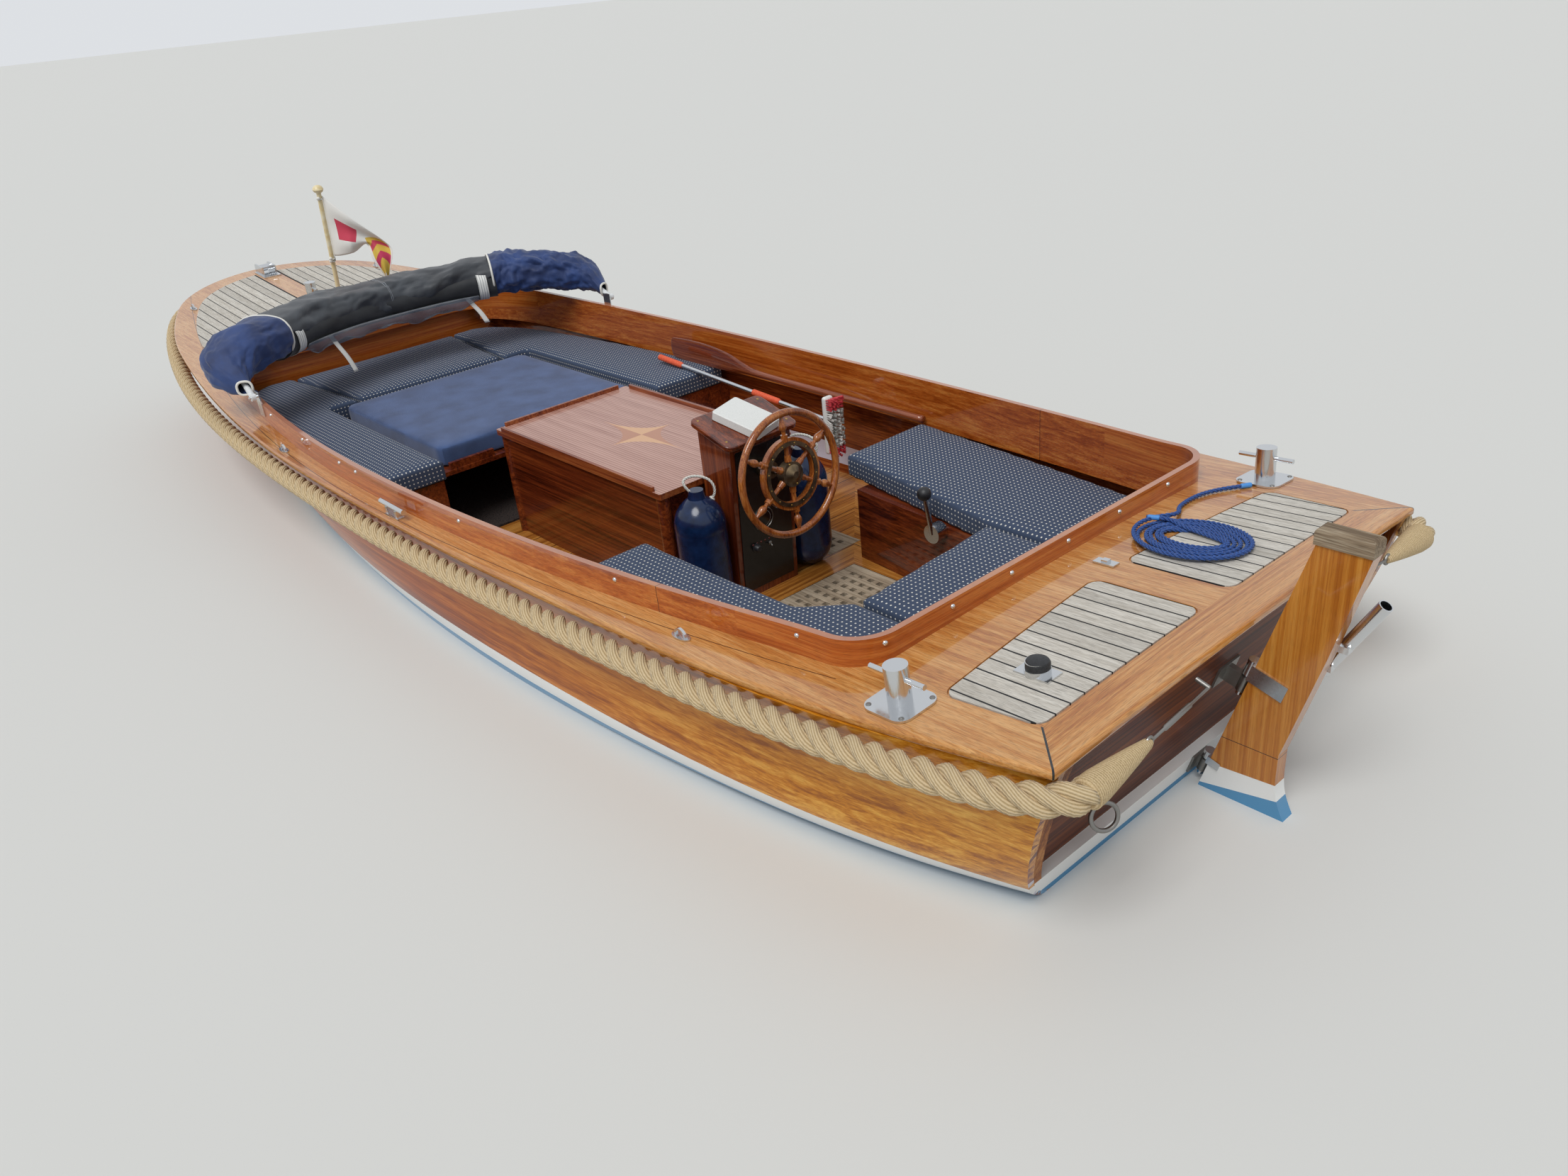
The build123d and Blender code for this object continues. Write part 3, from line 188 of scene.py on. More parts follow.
def smooth_line(points, steps=12):
    """Points along the NURBS curve that has these control points."""
    data = bpy.data.curves.new("route", "CURVE")
    data.dimensions = "3D"
    data.resolution_u = steps
    spline = data.splines.new("NURBS")
    spline.points.add(len(points) - 1)
    for point, place in zip(spline.points, points):
        point.co = (*place, 1)
    spline.order_u = 3
    spline.use_endpoint_u = True
    route = bpy.data.objects.new("route", data)
    bpy.context.scene.collection.objects.link(route)
    bpy.context.view_layer.update()
    mesh = bpy.data.meshes.new_from_object(route)
    line = [v.co.copy() for v in mesh.vertices]
    bpy.data.objects.remove(route)
    bpy.data.meshes.remove(mesh)
    bpy.data.curves.remove(data)
    return line


def even_line(line, step):
    """The same line with points a fixed step apart."""
    reach = [0.0]
    for a, b in zip(line, line[1:]):
        reach.append(reach[-1] + (b - a).length)
    count = max(2, round(reach[-1] / step))
    out, k = [], 0
    for i in range(count + 1):
        goal = reach[-1] * i / count
        while k < len(line) - 2 and reach[k + 1] < goal:
            k += 1
        share = (goal - reach[k]) / max(reach[k + 1] - reach[k], 1e-9)
        out.append(line[k].lerp(line[k + 1], min(max(share, 0), 1)))
    return out, reach[-1]


def line_frames(line):
    """Two directions square to the line at each of its points, carried along without twist."""
    ways = [(line[min(i + 1, len(line) - 1)] - line[max(i - 1, 0)]).normalized() for i in range(len(line))]
    side = ways[0].orthogonal().normalized()
    frames = []
    for way in ways:
        side = (side - way * side.dot(way)).normalized()
        frames.append((side, way.cross(side)))
    return frames


def tube_object(name, rings, closed_ends=True, marks=None):
    """Mesh through rings of points; marks gives each ring's distance along for the material's map."""
    count = len(rings[0])
    places = [p for ring in rings for p in ring]
    faces = [(i * count + k, i * count + (k + 1) % count, (i + 1) * count + (k + 1) % count,
              (i + 1) * count + k)
             for i in range(len(rings) - 1) for k in range(count)]
    if closed_ends:
        faces.append(tuple(range(count))[::-1])
        faces.append(tuple(range(len(places) - count, len(places))))
    mesh = bpy.data.meshes.new(name)
    mesh.from_pydata(places, [], faces)
    made = bpy.data.objects.new(name, mesh)
    bpy.context.scene.collection.objects.link(made)
    layer = mesh.uv_layers.new(name="lay")
    along = marks or list(range(len(rings)))
    for face, polygon in zip(faces, mesh.polygons):
        for corner, vertex in zip(polygon.loop_indices, face):
            ring, k = divmod(vertex, count)
            turn = k / count if not (k == 0 and count - 1 in [v % count for v in face]) else 1.0
            layer.data[corner].uv = (along[ring], turn)
    for polygon in mesh.polygons:
        polygon.use_smooth = True
    return made


def laid_rope(name, line, radius, lay, sides=8, rounds=12, hand=1, thick=None, strands=3):
    """Strands laid round a line; thick scales the rope at a share of its length."""
    line, length = even_line(line, lay / rounds)
    frames = line_frames(line)
    strand_r = radius * 0.52
    made = []
    for j in range(strands):
        rings, marks = [], []
        for i, (place, (side, over)) in enumerate(zip(line, frames)):
            share = i / (len(line) - 1)
            size = thick(share) if thick else 1.0
            turn = hand * math.tau * length * share / lay + math.tau * j / strands
            out = side * math.cos(turn) + over * math.sin(turn)
            round_it = over * math.cos(turn) - side * math.sin(turn)
            centre = place + out * (radius - strand_r) * size
            rings.append([centre + (out * math.cos(math.tau * k / sides) + round_it
                                    * math.sin(math.tau * k / sides)
                                    ) * strand_r * size for k in range(sides)])
            marks.append(length * share)
        made.append(tube_object(f"{name}_{j}", rings, marks=marks))
    for piece in made:
        piece.select_set(True)
    bpy.context.view_layer.objects.active = made[0]
    bpy.ops.object.join()
    made[0].name = name
    made[0].data.name = name
    bpy.ops.object.select_all(action="DESELECT")
    return made[0], line, length


def recalculate(piece):
    """Turns a closed mesh's faces outwards."""
    bpy.ops.object.select_all(action="DESELECT")
    piece.select_set(True)
    bpy.context.view_layer.objects.active = piece
    bpy.ops.object.mode_set(mode="EDIT")
    bpy.ops.mesh.select_all(action="SELECT")
    bpy.ops.mesh.normals_make_consistent(inside=False)
    bpy.ops.object.mode_set(mode="OBJECT")
    bpy.ops.object.select_all(action="DESELECT")


def yarn(name, shades, yarns, pitch, rough=0.85, fuzz=900.0, depth=0.0006):
    """Spun yarns of a laid rope: lines that run round each strand, with fine fuzz over them. Each yarn is
    painted lighter on its crown, a painted highlight, and darker in the grooves, a painted shade.
    """
    made, tree, shader = new_material(name, roughness=rough)
    shader.inputs["Sheen Weight"].default_value = 0.1
    lay = add_node(tree, "UVMap", uv_map="lay")
    split = add_node(tree, "SeparateXYZ", {0: lay.outputs[0]})
    turns = add_node(tree, "Math", {0: split.outputs["X"], 1: 1 / pitch}, operation="MULTIPLY")
    phase = add_node(tree, "Math", {0: split.outputs["Y"], 1: yarns, 2: turns.outputs[0]},
                     operation="MULTIPLY_ADD")
    angle = add_node(tree, "Math", {0: phase.outputs[0], 1: math.tau}, operation="MULTIPLY")
    wave = add_node(tree, "Math", {0: angle.outputs[0]}, operation="SINE")
    height = add_node(tree, "Math", {0: wave.outputs[0], 1: 0.5, 2: 0.5}, operation="MULTIPLY_ADD")
    at = add_node(tree, "TexCoord")
    hair = add_node(tree, "TexNoise", {"Vector": at.outputs["Object"], "Scale": fuzz, "Detail": 3.0})
    mixed = add_node(tree, "Math", {0: hair.outputs["Fac"], 1: 0.55, 2: height.outputs[0]},
                     operation="MULTIPLY_ADD")
    # The colour follows the yarns' height: painted highlight on their crowns, painted shade in the grooves
    # between them.
    colour = add_node(tree, "ValToRGB", {"Fac": mixed.outputs[0]}, stops=[(0.2, shades[0]), (0.6, shades[1]),
                                                                         (1.0, shades[2])])
    bump = add_node(tree, "Bump", {"Height": mixed.outputs[0], "Distance": depth, "Strength": 0.7})
    tree.links.new(colour.outputs[0], shader.inputs["Base Color"])
    tree.links.new(bump.outputs[0], shader.inputs["Normal"])
    return made


def finished(piece, name, slot, *materials, body="hull"):
    """Names a piece, gives it its material and sets it on its body; slot is not used."""
    piece.name = name
    piece.data.name = name
    piece.data.materials.clear()
    for material in materials:
        piece.data.materials.append(material)
    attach(piece, body)
    return piece


tail = [Vector((x, y, 0)) / 1000 for x, y in TAIL_XY]
for point in tail:
    point.z = deck_top(point.x, point.y, "aft_deck", "teak_panels") + LINE_R + LINE_LIFT
coil = []
for turn in range(len(TURNS) * TURN_POINTS - 3):
    share = turn / TURN_POINTS
    low, high = TURNS[int(share)], TURNS[min(int(share) + 1, len(TURNS) - 1)]
    a, b, cx, cy, lift = (p + (q - p) * (share % 1) for p, q in zip(low, high))
    phase = math.radians(TURN_START) + math.tau * share
    x, y = cx + a * math.cos(phase), cy + b * math.sin(phase)
    coil.append(Vector((x, y, 0)) / 1000)
    coil[-1].z = deck_top(coil[-1].x, coil[-1].y, "aft_deck", "teak_panels") + lift / 1000 + LINE_LIFT
loose_end = [Vector((x, y, 0)) / 1000 for x, y, _ in END_XY]
for point, (_, _, lift) in zip(loose_end, END_XY):
    point.z = deck_top(point.x, point.y, "aft_deck", "teak_panels") + lift / 1000 + LINE_LIFT
line_route = smooth_line(tail + coil + loose_end)
mooring_line, line_path, line_length = laid_rope("mooring_line", line_route, LINE_R, LINE_LAY, sides=7,
                                                 rounds=10)
recalculate(mooring_line)
blue_polyester = yarn("blue_polyester", LINE_HEX, 5, 0.012, rough=0.6, fuzz=1500.0)
finished(mooring_line, "mooring_line", "blue_rope", blue_polyester)
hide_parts("mooring_coil", "mooring_tail")

# Tape round both ends of the mooring line: light-blue woven tape, wound on tight.
TAPE_HEX = "#4C92D9"
TAPE_LONG = 0.034
tape_cloth, tree, shader = new_material("tape_cloth", roughness=0.5)
shader.inputs["Base Color"].default_value = linear(TAPE_HEX)
at = add_node(tree, "TexCoord")
threads = add_node(tree, "TexNoise", {"Vector": at.outputs["Object"], "Scale": 700.0, "Detail": 2.0})
bump = add_node(tree, "Bump", {"Height": threads.outputs["Fac"], "Distance": 0.0006, "Strength": 0.6})
tree.links.new(bump.outputs[0], shader.inputs["Normal"])
for name, points in (("tape_at_bollard", line_path[:9]), ("tape_at_end", line_path[-9:])):
    span = (points[-1] - points[0])
    line = [points[0] + span * (i / 12) * min(1, TAPE_LONG / span.length) for i in range(13)]
    rings = []
    for i, (place, (side, over)) in enumerate(zip(line, line_frames(line))):
        r = LINE_R * (1.10 + 0.03 * math.cos(i * 2.4)) * (0.8 if i in (0, 12) else 1)
        rings.append([place + (side * math.cos(math.tau * k / 16) + over * math.sin(math.tau * k / 16)) * r
                      for k in range(16)])
    tape = tube_object(name, rings)
    recalculate(tape)
    finished(tape, name, "blue_rope", tape_cloth)


# Hull planking: glued mahogany planks, varnished golden brown outside, with a white boot-top
# painted along the waterline and blue antifouling below it. The paint edges run level.
HULL_SHADES = ("#9C580C", "#CE861C", "#EAB048")
FORE_TINT = "#D8A49A"
INSIDE_SHADES = ("#4A1B0B", "#7E3816", "#A55A28")
STRIP_LOW, STRIP_HIGH = 0.035, 0.118
STRIP_HEX = "#C9C3CE"
BOOT_LOW, BOOT_HIGH = 0.036, 0.085
BOOT_HEX = "#E9EAE8"
ANTIFOULING_HEX = "#4A8CB8"


def grain(tree, at, shades, run, ring, length, wave=1.0, drift=0.5, pores=0.25):
    """Colour of sawn timber that runs along one axis, and the height of its open pores."""
    scales = {"ringed": (1 / length, 1 / ring), "streaked": (1.6 / length, 5.5 / ring),
              "fined": (28.0, 520.0)}
    laid = {}
    for name, (along, across) in scales.items():
        size = tuple(along if axis == run else across for axis in "XYZ")
        laid[name] = add_node(tree, "Mapping", {"Vector": at, "Scale": size}).outputs[0]
    rings = add_node(tree, "TexNoise", {"Vector": laid["ringed"], "Scale": 1.0, "Detail": 3.0,
                                        "Roughness": 0.5,
                                        "Distortion": wave})
    streaks = add_node(tree, "TexNoise", {"Vector": laid["streaked"], "Scale": 1.0, "Detail": 3.0})
    broad = add_node(tree, "TexNoise", {"Vector": laid["ringed"], "Scale": 0.16, "Detail": 2.0})
    drifted = add_node(tree, "Math", {0: broad.outputs["Fac"], 1: drift, 2: -0.5 * drift},
                       operation="MULTIPLY_ADD")
    tone = add_node(tree, "Math", {0: rings.outputs["Fac"], 1: 0.75, 2: drifted.outputs[0]},
                    operation="MULTIPLY_ADD")
    tone = add_node(tree, "Math", {0: streaks.outputs["Fac"], 1: 0.42, 2: tone.outputs[0]},
                    operation="MULTIPLY_ADD")
    colour = add_node(tree, "ValToRGB", {"Fac": tone.outputs[0]},
                      stops=[(0.40, shades[0]), (0.58, shades[1]), (0.76, shades[2])])
    pore = add_node(tree, "TexNoise", {"Vector": laid["fined"], "Scale": 1.0, "Detail": 2.0})
    fleck = add_node(tree, "MapRange", {"Value": pore.outputs["Fac"], "From Min": 0.34, "From Max": 0.52,
                                        "To Min": 1 - pores, "To Max": 1.0})
    out = add_node(tree, "Mix", {0: 1.0, 6: colour.outputs[0], 7: fleck.outputs[0]}, data_type="RGBA",
                   blend_type="MULTIPLY")
    return out.outputs[2], fleck.outputs[0]


def varnished(tree, shader, colour, pores, rough=0.32, coat=1.0, coat_rough=0.06, depth=0.00025):
    """Brushed varnish over timber: the pores show through a clear, glossy coat."""
    shader.inputs["Roughness"].default_value = rough
    shader.inputs["Coat Weight"].default_value = coat
    shader.inputs["Specular IOR Level"].default_value = 0.15 if coat else 0.4
    shader.inputs["Coat Roughness"].default_value = coat_rough
    bump = add_node(tree, "Bump", {"Height": pores, "Distance": depth, "Strength": 0.35})
    tree.links.new(colour, shader.inputs["Base Color"])
    tree.links.new(bump.outputs[0], shader.inputs["Normal"])


def timber(name, shades, run="X", ring=0.012, length=0.8, wave=1.0, drift=0.5, pores=0.25, **finish):
    """Varnished timber of one direction of grain."""
    made, tree, shader = new_material(name)
    at = add_node(tree, "TexCoord").outputs["Object"]
    colour, pore = grain(tree, at, shades, run, ring, length, wave, drift, pores)
    varnished(tree, shader, colour, pore, **finish)
    return made


def banded(tree, value, edges, codes, under):
    """Colour painted over another in bands of a value; a band with no code leaves what is under it."""
    colour = under
    for (low, high), code in zip(edges, codes):
        above = add_node(tree, "Math", {0: value, 1: low}, operation="GREATER_THAN")
        below = add_node(tree, "Math", {0: value, 1: high}, operation="LESS_THAN")
        inside = add_node(tree, "Math", {0: above.outputs[0], 1: below.outputs[0]}, operation="MULTIPLY")
        mixed = add_node(tree, "Mix", {0: inside.outputs[0], 6: colour, 7: linear(code)}, data_type="RGBA")
        colour = mixed.outputs[2]
    return colour


def dress(material, *names):
    """Gives CAD nodes their material."""
    for name in names:
        nodes[name].data.materials.clear()
        nodes[name].data.materials.append(material)


hull_varnish, tree, shader = new_material("hull_varnish")
at = add_node(tree, "TexCoord").outputs["Object"]
split = add_node(tree, "SeparateXYZ", {0: at})
outer, pore = grain(tree, at, HULL_SHADES, "X", 0.022, 1.1, wave=0.8, drift=0.5, pores=0.12)
forward = add_node(tree, "MapRange", {"Value": split.outputs["X"], "From Min": -3.0, "From Max": -0.6})
tinted = add_node(tree, "Mix", {0: forward.outputs[0], 6: outer, 7: linear(FORE_TINT)}, data_type="RGBA",
                  blend_type="MULTIPLY")
painted = banded(tree, split.outputs["Z"], ((BOOT_LOW, BOOT_HIGH), (-1, BOOT_LOW)),
                 (BOOT_HEX, ANTIFOULING_HEX),
                 tinted.outputs[2])
inner, _ = grain(tree, at, INSIDE_SHADES, "X", 0.014, 0.5, wave=1.2)
inner = banded(tree, split.outputs["Z"], ((STRIP_LOW, STRIP_HIGH),), (STRIP_HEX,), inner)
facing = add_node(tree, "SeparateXYZ", {0: add_node(tree, "NewGeometry").outputs["Normal"]})
inward = add_node(tree, "Math", {0: facing.outputs["Y"], 1: split.outputs["Y"]}, operation="MULTIPLY")
inward = add_node(tree, "Math", {0: inward.outputs[0], 1: 0.0}, operation="LESS_THAN")
colour = add_node(tree, "Mix", {0: inward.outputs[0], 6: painted, 7: inner}, data_type="RGBA")
varnished(tree, shader, colour.outputs[2], pore, coat=0.5)
dress(hull_varnish, "hull_sides")

antifouling, tree, shader = new_material("antifouling", roughness=0.75)
at = add_node(tree, "TexCoord").outputs["Object"]
scum = add_node(tree, "TexNoise", {"Vector": at, "Scale": 6.0, "Detail": 8.0, "Roughness": 0.65})
colour = add_node(tree, "ValToRGB", {"Fac": scum.outputs["Fac"]},
                  stops=[(0.35, "#35759F"), (0.55, ANTIFOULING_HEX), (0.75, "#6FA6C8")])
bump = add_node(tree, "Bump", {"Height": scum.outputs["Fac"], "Distance": 0.002, "Strength": 0.4})
tree.links.new(colour.outputs[0], shader.inputs["Base Color"])
tree.links.new(bump.outputs[0], shader.inputs["Normal"])
dress(antifouling, "hull_bottom")

# Keel, skeg and stem: one oak backbone. The stem above the boot-top is varnished, and all below
# it carries the antifouling.
stem_timber, tree, shader = new_material("stem_timber")
at = add_node(tree, "TexCoord").outputs["Object"]
colour, pore = grain(tree, at, HULL_SHADES, "Z", 0.02, 0.6)
height = add_node(tree, "SeparateXYZ", {0: at}).outputs["Z"]
colour = banded(tree, height, ((BOOT_LOW, BOOT_HIGH), (-1, BOOT_LOW)), (BOOT_HEX, ANTIFOULING_HEX), colour)
varnished(tree, shader, colour, pore)
dress(stem_timber, "keel")

# Transom: a dark mahogany panel, varnished, set in behind lighter fashion pieces at its sides
# and over a bottom rail whose face is painted white above and blue below.
TRANSOM_SHADES = ("#38150A", "#5C2A12", "#7E421C")
FASHION_SHADES = ("#6A3412", "#94551F", "#B77A3C")
RAIL_LOW, RAIL_HIGH = 0.027, 0.0925
TRANSOM_LEAN = 0.30
OUTER_PLANE = -3.100
PANEL_STEP = 0.020
transom_varnish, tree, shader = new_material("transom_varnish")
at = add_node(tree, "TexCoord").outputs["Object"]
split = add_node(tree, "SeparateXYZ", {0: at})
panel, pore = grain(tree, at, TRANSOM_SHADES, "Y", 0.018, 0.9)
frames, _ = grain(tree, at, FASHION_SHADES, "Z", 0.012, 0.5)
depth = add_node(tree, "Math", {0: split.outputs["Z"], 1: TRANSOM_LEAN, 2: split.outputs["X"]},
                 operation="MULTIPLY_ADD")
outside = add_node(tree, "Math", {0: depth.outputs[0], 1: OUTER_PLANE + PANEL_STEP}, operation="LESS_THAN")
colour = add_node(tree, "Mix", {0: outside.outputs[0], 6: panel, 7: frames}, data_type="RGBA").outputs[2]
colour = banded(tree, split.outputs["Z"], ((RAIL_LOW, RAIL_HIGH), (-1, RAIL_LOW)),
                (BOOT_HEX, ANTIFOULING_HEX),
                colour)
varnished(tree, shader, colour, pore, rough=0.5, coat=0.12, coat_rough=0.2)
dress(transom_varnish, "transom")


# Covering boards and king planks: golden mahogany deck boards, varnished. They run along the
# sides and meet the stern board in a mitre at each quarter, payed with black caulking.
DECK_SHADES = ("#AC672A", "#C98A46", "#DAA465")
CAULK_HEX = "#15181B"
STERN_BOARD_X = -3.143
MITRE_Y = 0.700
MITRE_RUN = 1.02
CAULK_HALF = 0.0035
MARGIN_WIDE = 0.052
MARGIN_HALF = 0.0014
WIDEST_X, WIDEST_Y = -0.100, 0.976
BEND_AFT, BEND_FORE = 1 / 30.2, 1 / 20.4
MARGIN_HEX = "#4A2710"
deck_varnish, tree, shader = new_material("deck_varnish")
at = add_node(tree, "TexCoord").outputs["Object"]
split = add_node(tree, "SeparateXYZ", {0: at})
beam = add_node(tree, "Math", {0: split.outputs["Y"]}, operation="ABSOLUTE")
past = add_node(tree, "Math", {0: beam.outputs[0], 1: MITRE_Y}, operation="SUBTRACT")
past = add_node(tree, "Math", {0: past.outputs[0], 1: 0.0}, operation="MAXIMUM")
mitre = add_node(tree, "Math", {0: past.outputs[0], 1: MITRE_RUN, 2: split.outputs["X"]},
                 operation="MULTIPLY_ADD")
from_seam = add_node(tree, "Math", {0: mitre.outputs[0], 1: STERN_BOARD_X}, operation="SUBTRACT")
astern = add_node(tree, "Math", {0: from_seam.outputs[0], 1: 0.0}, operation="LESS_THAN")
turned = add_node(tree, "CombineXYZ", {"X": split.outputs["Y"], "Y": split.outputs["X"],
                                       "Z": split.outputs["Z"]})
choice = add_node(tree, "Mix", {0: astern.outputs[0], 4: at, 5: turned.outputs[0]}, data_type="VECTOR")
colour, pore = grain(tree, choice.outputs[1], DECK_SHADES, "X", 0.012, 0.9, drift=0.55, pores=0.3)
on_quarter = add_node(tree, "Math", {0: past.outputs[0], 1: 0.0}, operation="GREATER_THAN")
near = add_node(tree, "Math", {0: from_seam.outputs[0]}, operation="ABSOLUTE")
near = add_node(tree, "Math", {0: near.outputs[0], 1: CAULK_HALF}, operation="LESS_THAN")
seam = add_node(tree, "Math", {0: near.outputs[0], 1: on_quarter.outputs[0]}, operation="MULTIPLY")
colour = add_node(tree, "Mix", {0: seam.outputs[0], 6: colour, 7: linear(CAULK_HEX)},
                  data_type="RGBA").outputs[2]
from_widest = add_node(tree, "Math", {0: split.outputs["X"], 1: WIDEST_X}, operation="SUBTRACT")
squared = add_node(tree, "Math", {0: from_widest.outputs[0], 1: 2.0}, operation="POWER")
is_fore = add_node(tree, "Math", {0: from_widest.outputs[0], 1: 0.0}, operation="GREATER_THAN")
bend = add_node(tree, "Math", {0: is_fore.outputs[0], 1: BEND_FORE - BEND_AFT, 2: BEND_AFT},
                operation="MULTIPLY_ADD")
inset = add_node(tree, "Math", {0: squared.outputs[0], 1: bend.outputs[0], 2: beam.outputs[0]},
                 operation="MULTIPLY_ADD")
off_line = add_node(tree, "Math", {0: inset.outputs[0], 1: WIDEST_Y + MARGIN_WIDE}, operation="SUBTRACT")
off_line = add_node(tree, "Math", {0: off_line.outputs[0]}, operation="ABSOLUTE")
on_line = add_node(tree, "Math", {0: off_line.outputs[0], 1: MARGIN_HALF}, operation="LESS_THAN")
beside = add_node(tree, "Math", {0: split.outputs["X"], 1: -2.62}, operation="GREATER_THAN")
on_line = add_node(tree, "Math", {0: on_line.outputs[0], 1: beside.outputs[0]}, operation="MULTIPLY")
colour = add_node(tree, "Mix", {0: on_line.outputs[0], 6: colour, 7: linear(MARGIN_HEX)},
                  data_type="RGBA").outputs[2]
varnished(tree, shader, colour, pore)
dress(deck_varnish, "aft_deck", "side_decks", "foredeck")

# Teak panels: bare teak planks let into the deck fore and aft, weathered silver grey, with
# black caulking between the planks and round each panel.
TEAK_SHADES = ("#BCB5A9", "#CFC9BE", "#DED9CF")
PLANK_WIDE = 0.0523
SEAM_WIDE = 0.005
PANEL_EDGE_Y = 0.070
bare_teak, tree, shader = new_material("bare_teak", roughness=0.8)
at = add_node(tree, "TexCoord").outputs["Object"]
colour, pore = grain(tree, at, TEAK_SHADES, "X", 0.007, 0.35, wave=0.5, drift=0.4, pores=0.3)
beam = add_node(tree, "SeparateXYZ", {0: at}).outputs["Y"]
beam = add_node(tree, "Math", {0: beam}, operation="ABSOLUTE")
steps = add_node(tree, "Math", {0: beam.outputs[0], 1: PANEL_EDGE_Y - SEAM_WIDE / 2}, operation="SUBTRACT")
within = add_node(tree, "Math", {0: steps.outputs[0], 1: PLANK_WIDE}, operation="MODULO")
plank = add_node(tree, "Math", {0: steps.outputs[0], 1: PLANK_WIDE}, operation="DIVIDE")
plank = add_node(tree, "Math", {0: plank.outputs[0]}, operation="FLOOR")
shade = add_node(tree, "TexWhiteNoise", {"W": plank.outputs[0]}, noise_dimensions="1D")
shade = add_node(tree, "MapRange", {"Value": shade.outputs["Value"], "To Min": 0.86, "To Max": 1.04})
colour = add_node(tree, "Mix", {0: 1.0, 6: colour, 7: shade.outputs[0]}, data_type="RGBA",
                  blend_type="MULTIPLY")
seam = add_node(tree, "Math", {0: within.outputs[0], 1: SEAM_WIDE}, operation="LESS_THAN")
colour = add_node(tree, "Mix", {0: seam.outputs[0], 6: colour.outputs[2], 7: linear(CAULK_HEX)},
                  data_type="RGBA")
level = add_node(tree, "Math", {0: pore, 1: seam.outputs[0]}, operation="SUBTRACT")
bump = add_node(tree, "Bump", {"Height": level.outputs[0], "Distance": 0.0008, "Strength": 0.5})
tree.links.new(colour.outputs[2], shader.inputs["Base Color"])
tree.links.new(bump.outputs[0], shader.inputs["Normal"])
dress(bare_teak, "teak_panels")

# Coaming: steamed ribbon mahogany, 20 mm thick, redder than the deck, butted in two lengths a side. Its
# upward-facing faces, its top edge among them, are painted a paler dull pink.
COAMING_SHADES = ("#96420F", "#B85E20", "#D0803A")
EDGE_HEX = "#B98468"
BUTT_X = -1.95
BUTT_HALF = 0.0012
WELL_MIDDLE = 0.4
for name, bent, parts in (("coaming_varnish", False, ("coaming_port", "coaming_starboard", "carlins")),
                          ("coaming_across", True, ("coaming_aft", "coaming_fore", "bulkheads"))):
    made, tree, shader = new_material(name)
    at = add_node(tree, "TexCoord").outputs["Object"]
    split = add_node(tree, "SeparateXYZ", {0: at})
    past_butt = add_node(tree, "Math", {0: split.outputs["X"], 1: BUTT_X}, operation="GREATER_THAN")
    plank = add_node(tree, "CombineXYZ", {"X": past_butt.outputs[0], "Z": past_butt.outputs[0]})
    laid = add_node(tree, "VectorMath", {0: at, 1: plank.outputs[0]}, operation="ADD")
    if bent:
        abeam = add_node(tree, "Math", {0: split.outputs["Y"]}, operation="ABSOLUTE")
        ahead = add_node(tree, "Math", {0: split.outputs["X"], 1: WELL_MIDDLE}, operation="ADD")
        ahead = add_node(tree, "Math", {0: ahead.outputs[0]}, operation="ABSOLUTE")
        round_it = add_node(tree, "Math", {0: abeam.outputs[0], 1: ahead.outputs[0]}, operation="SUBTRACT")
        laid = add_node(tree, "CombineXYZ", {"X": round_it.outputs[0], "Z": split.outputs["Z"]})
    colour, pore = grain(tree, laid.outputs[0], COAMING_SHADES, "X", 0.012, 0.6, wave=0.5, drift=0.4)
    # Faces that look upward are painted 60 % of the way to the paler dull pink of EDGE_HEX.
    facing = add_node(tree, "SeparateXYZ", {0: add_node(tree, "NewGeometry").outputs["Normal"]})
    upward = add_node(tree, "Math", {0: facing.outputs["Z"], 1: 0.7}, operation="GREATER_THAN")
    paler_upward_share = add_node(tree, "Math", {0: upward.outputs[0], 1: 0.6}, operation="MULTIPLY")
    colour = add_node(tree, "Mix", {0: paler_upward_share.outputs[0], 6: colour, 7: linear(EDGE_HEX)},
                      data_type="RGBA").outputs[2]
    colour = banded(tree, split.outputs["X"], ((BUTT_X - BUTT_HALF, BUTT_X + BUTT_HALF),), ("#3A1608",),
                    colour)
    varnished(tree, shader, colour, pore)
    dress(made, *parts)


# Rope fender: 80 mm three-strand hemp-coloured rope with a fuzzy spun yarn, clamped under the
# deck's edge from one quarter round the bow to the other. Its strands run right-handed.
FENDER_R = 0.040
FENDER_LAY = 0.190
# Hemp shades of the fender and its whipping, from the painted shade in their grooves to the painted highlight
# on their crowns.
FENDER_HEX = ("#A68E68", "#C6AE84", "#D8C29C")
ROPE_DROP = 66.3
ROPE_XY = ((-3306, 760), (-3290, 842), (-2900, 932), (-2500, 979), (-2100, 1011), (-1200, 1052), (-300, 1071),
           (600, 1066), (1300, 1034), (1900, 966), (2400, 864), (2760, 762), (3040, 648), (3210, 520),
           (3340, 370), (3430, 190), (3466, 0))
SHEER_X, SHEER_Z, SHEER_AFT, SHEER_FORE, CROWN = -350.0, 475.0, 48500.0, 34500.0, 16000.0


def sheer(x, y):
    """Height of the deck's line in millimetres, from the two arcs that it is drawn with."""
    radius = SHEER_AFT if x < SHEER_X else SHEER_FORE
    return SHEER_Z + radius - math.sqrt(radius ** 2 - (x - SHEER_X) ** 2) - y * y / (2 * CROWN)


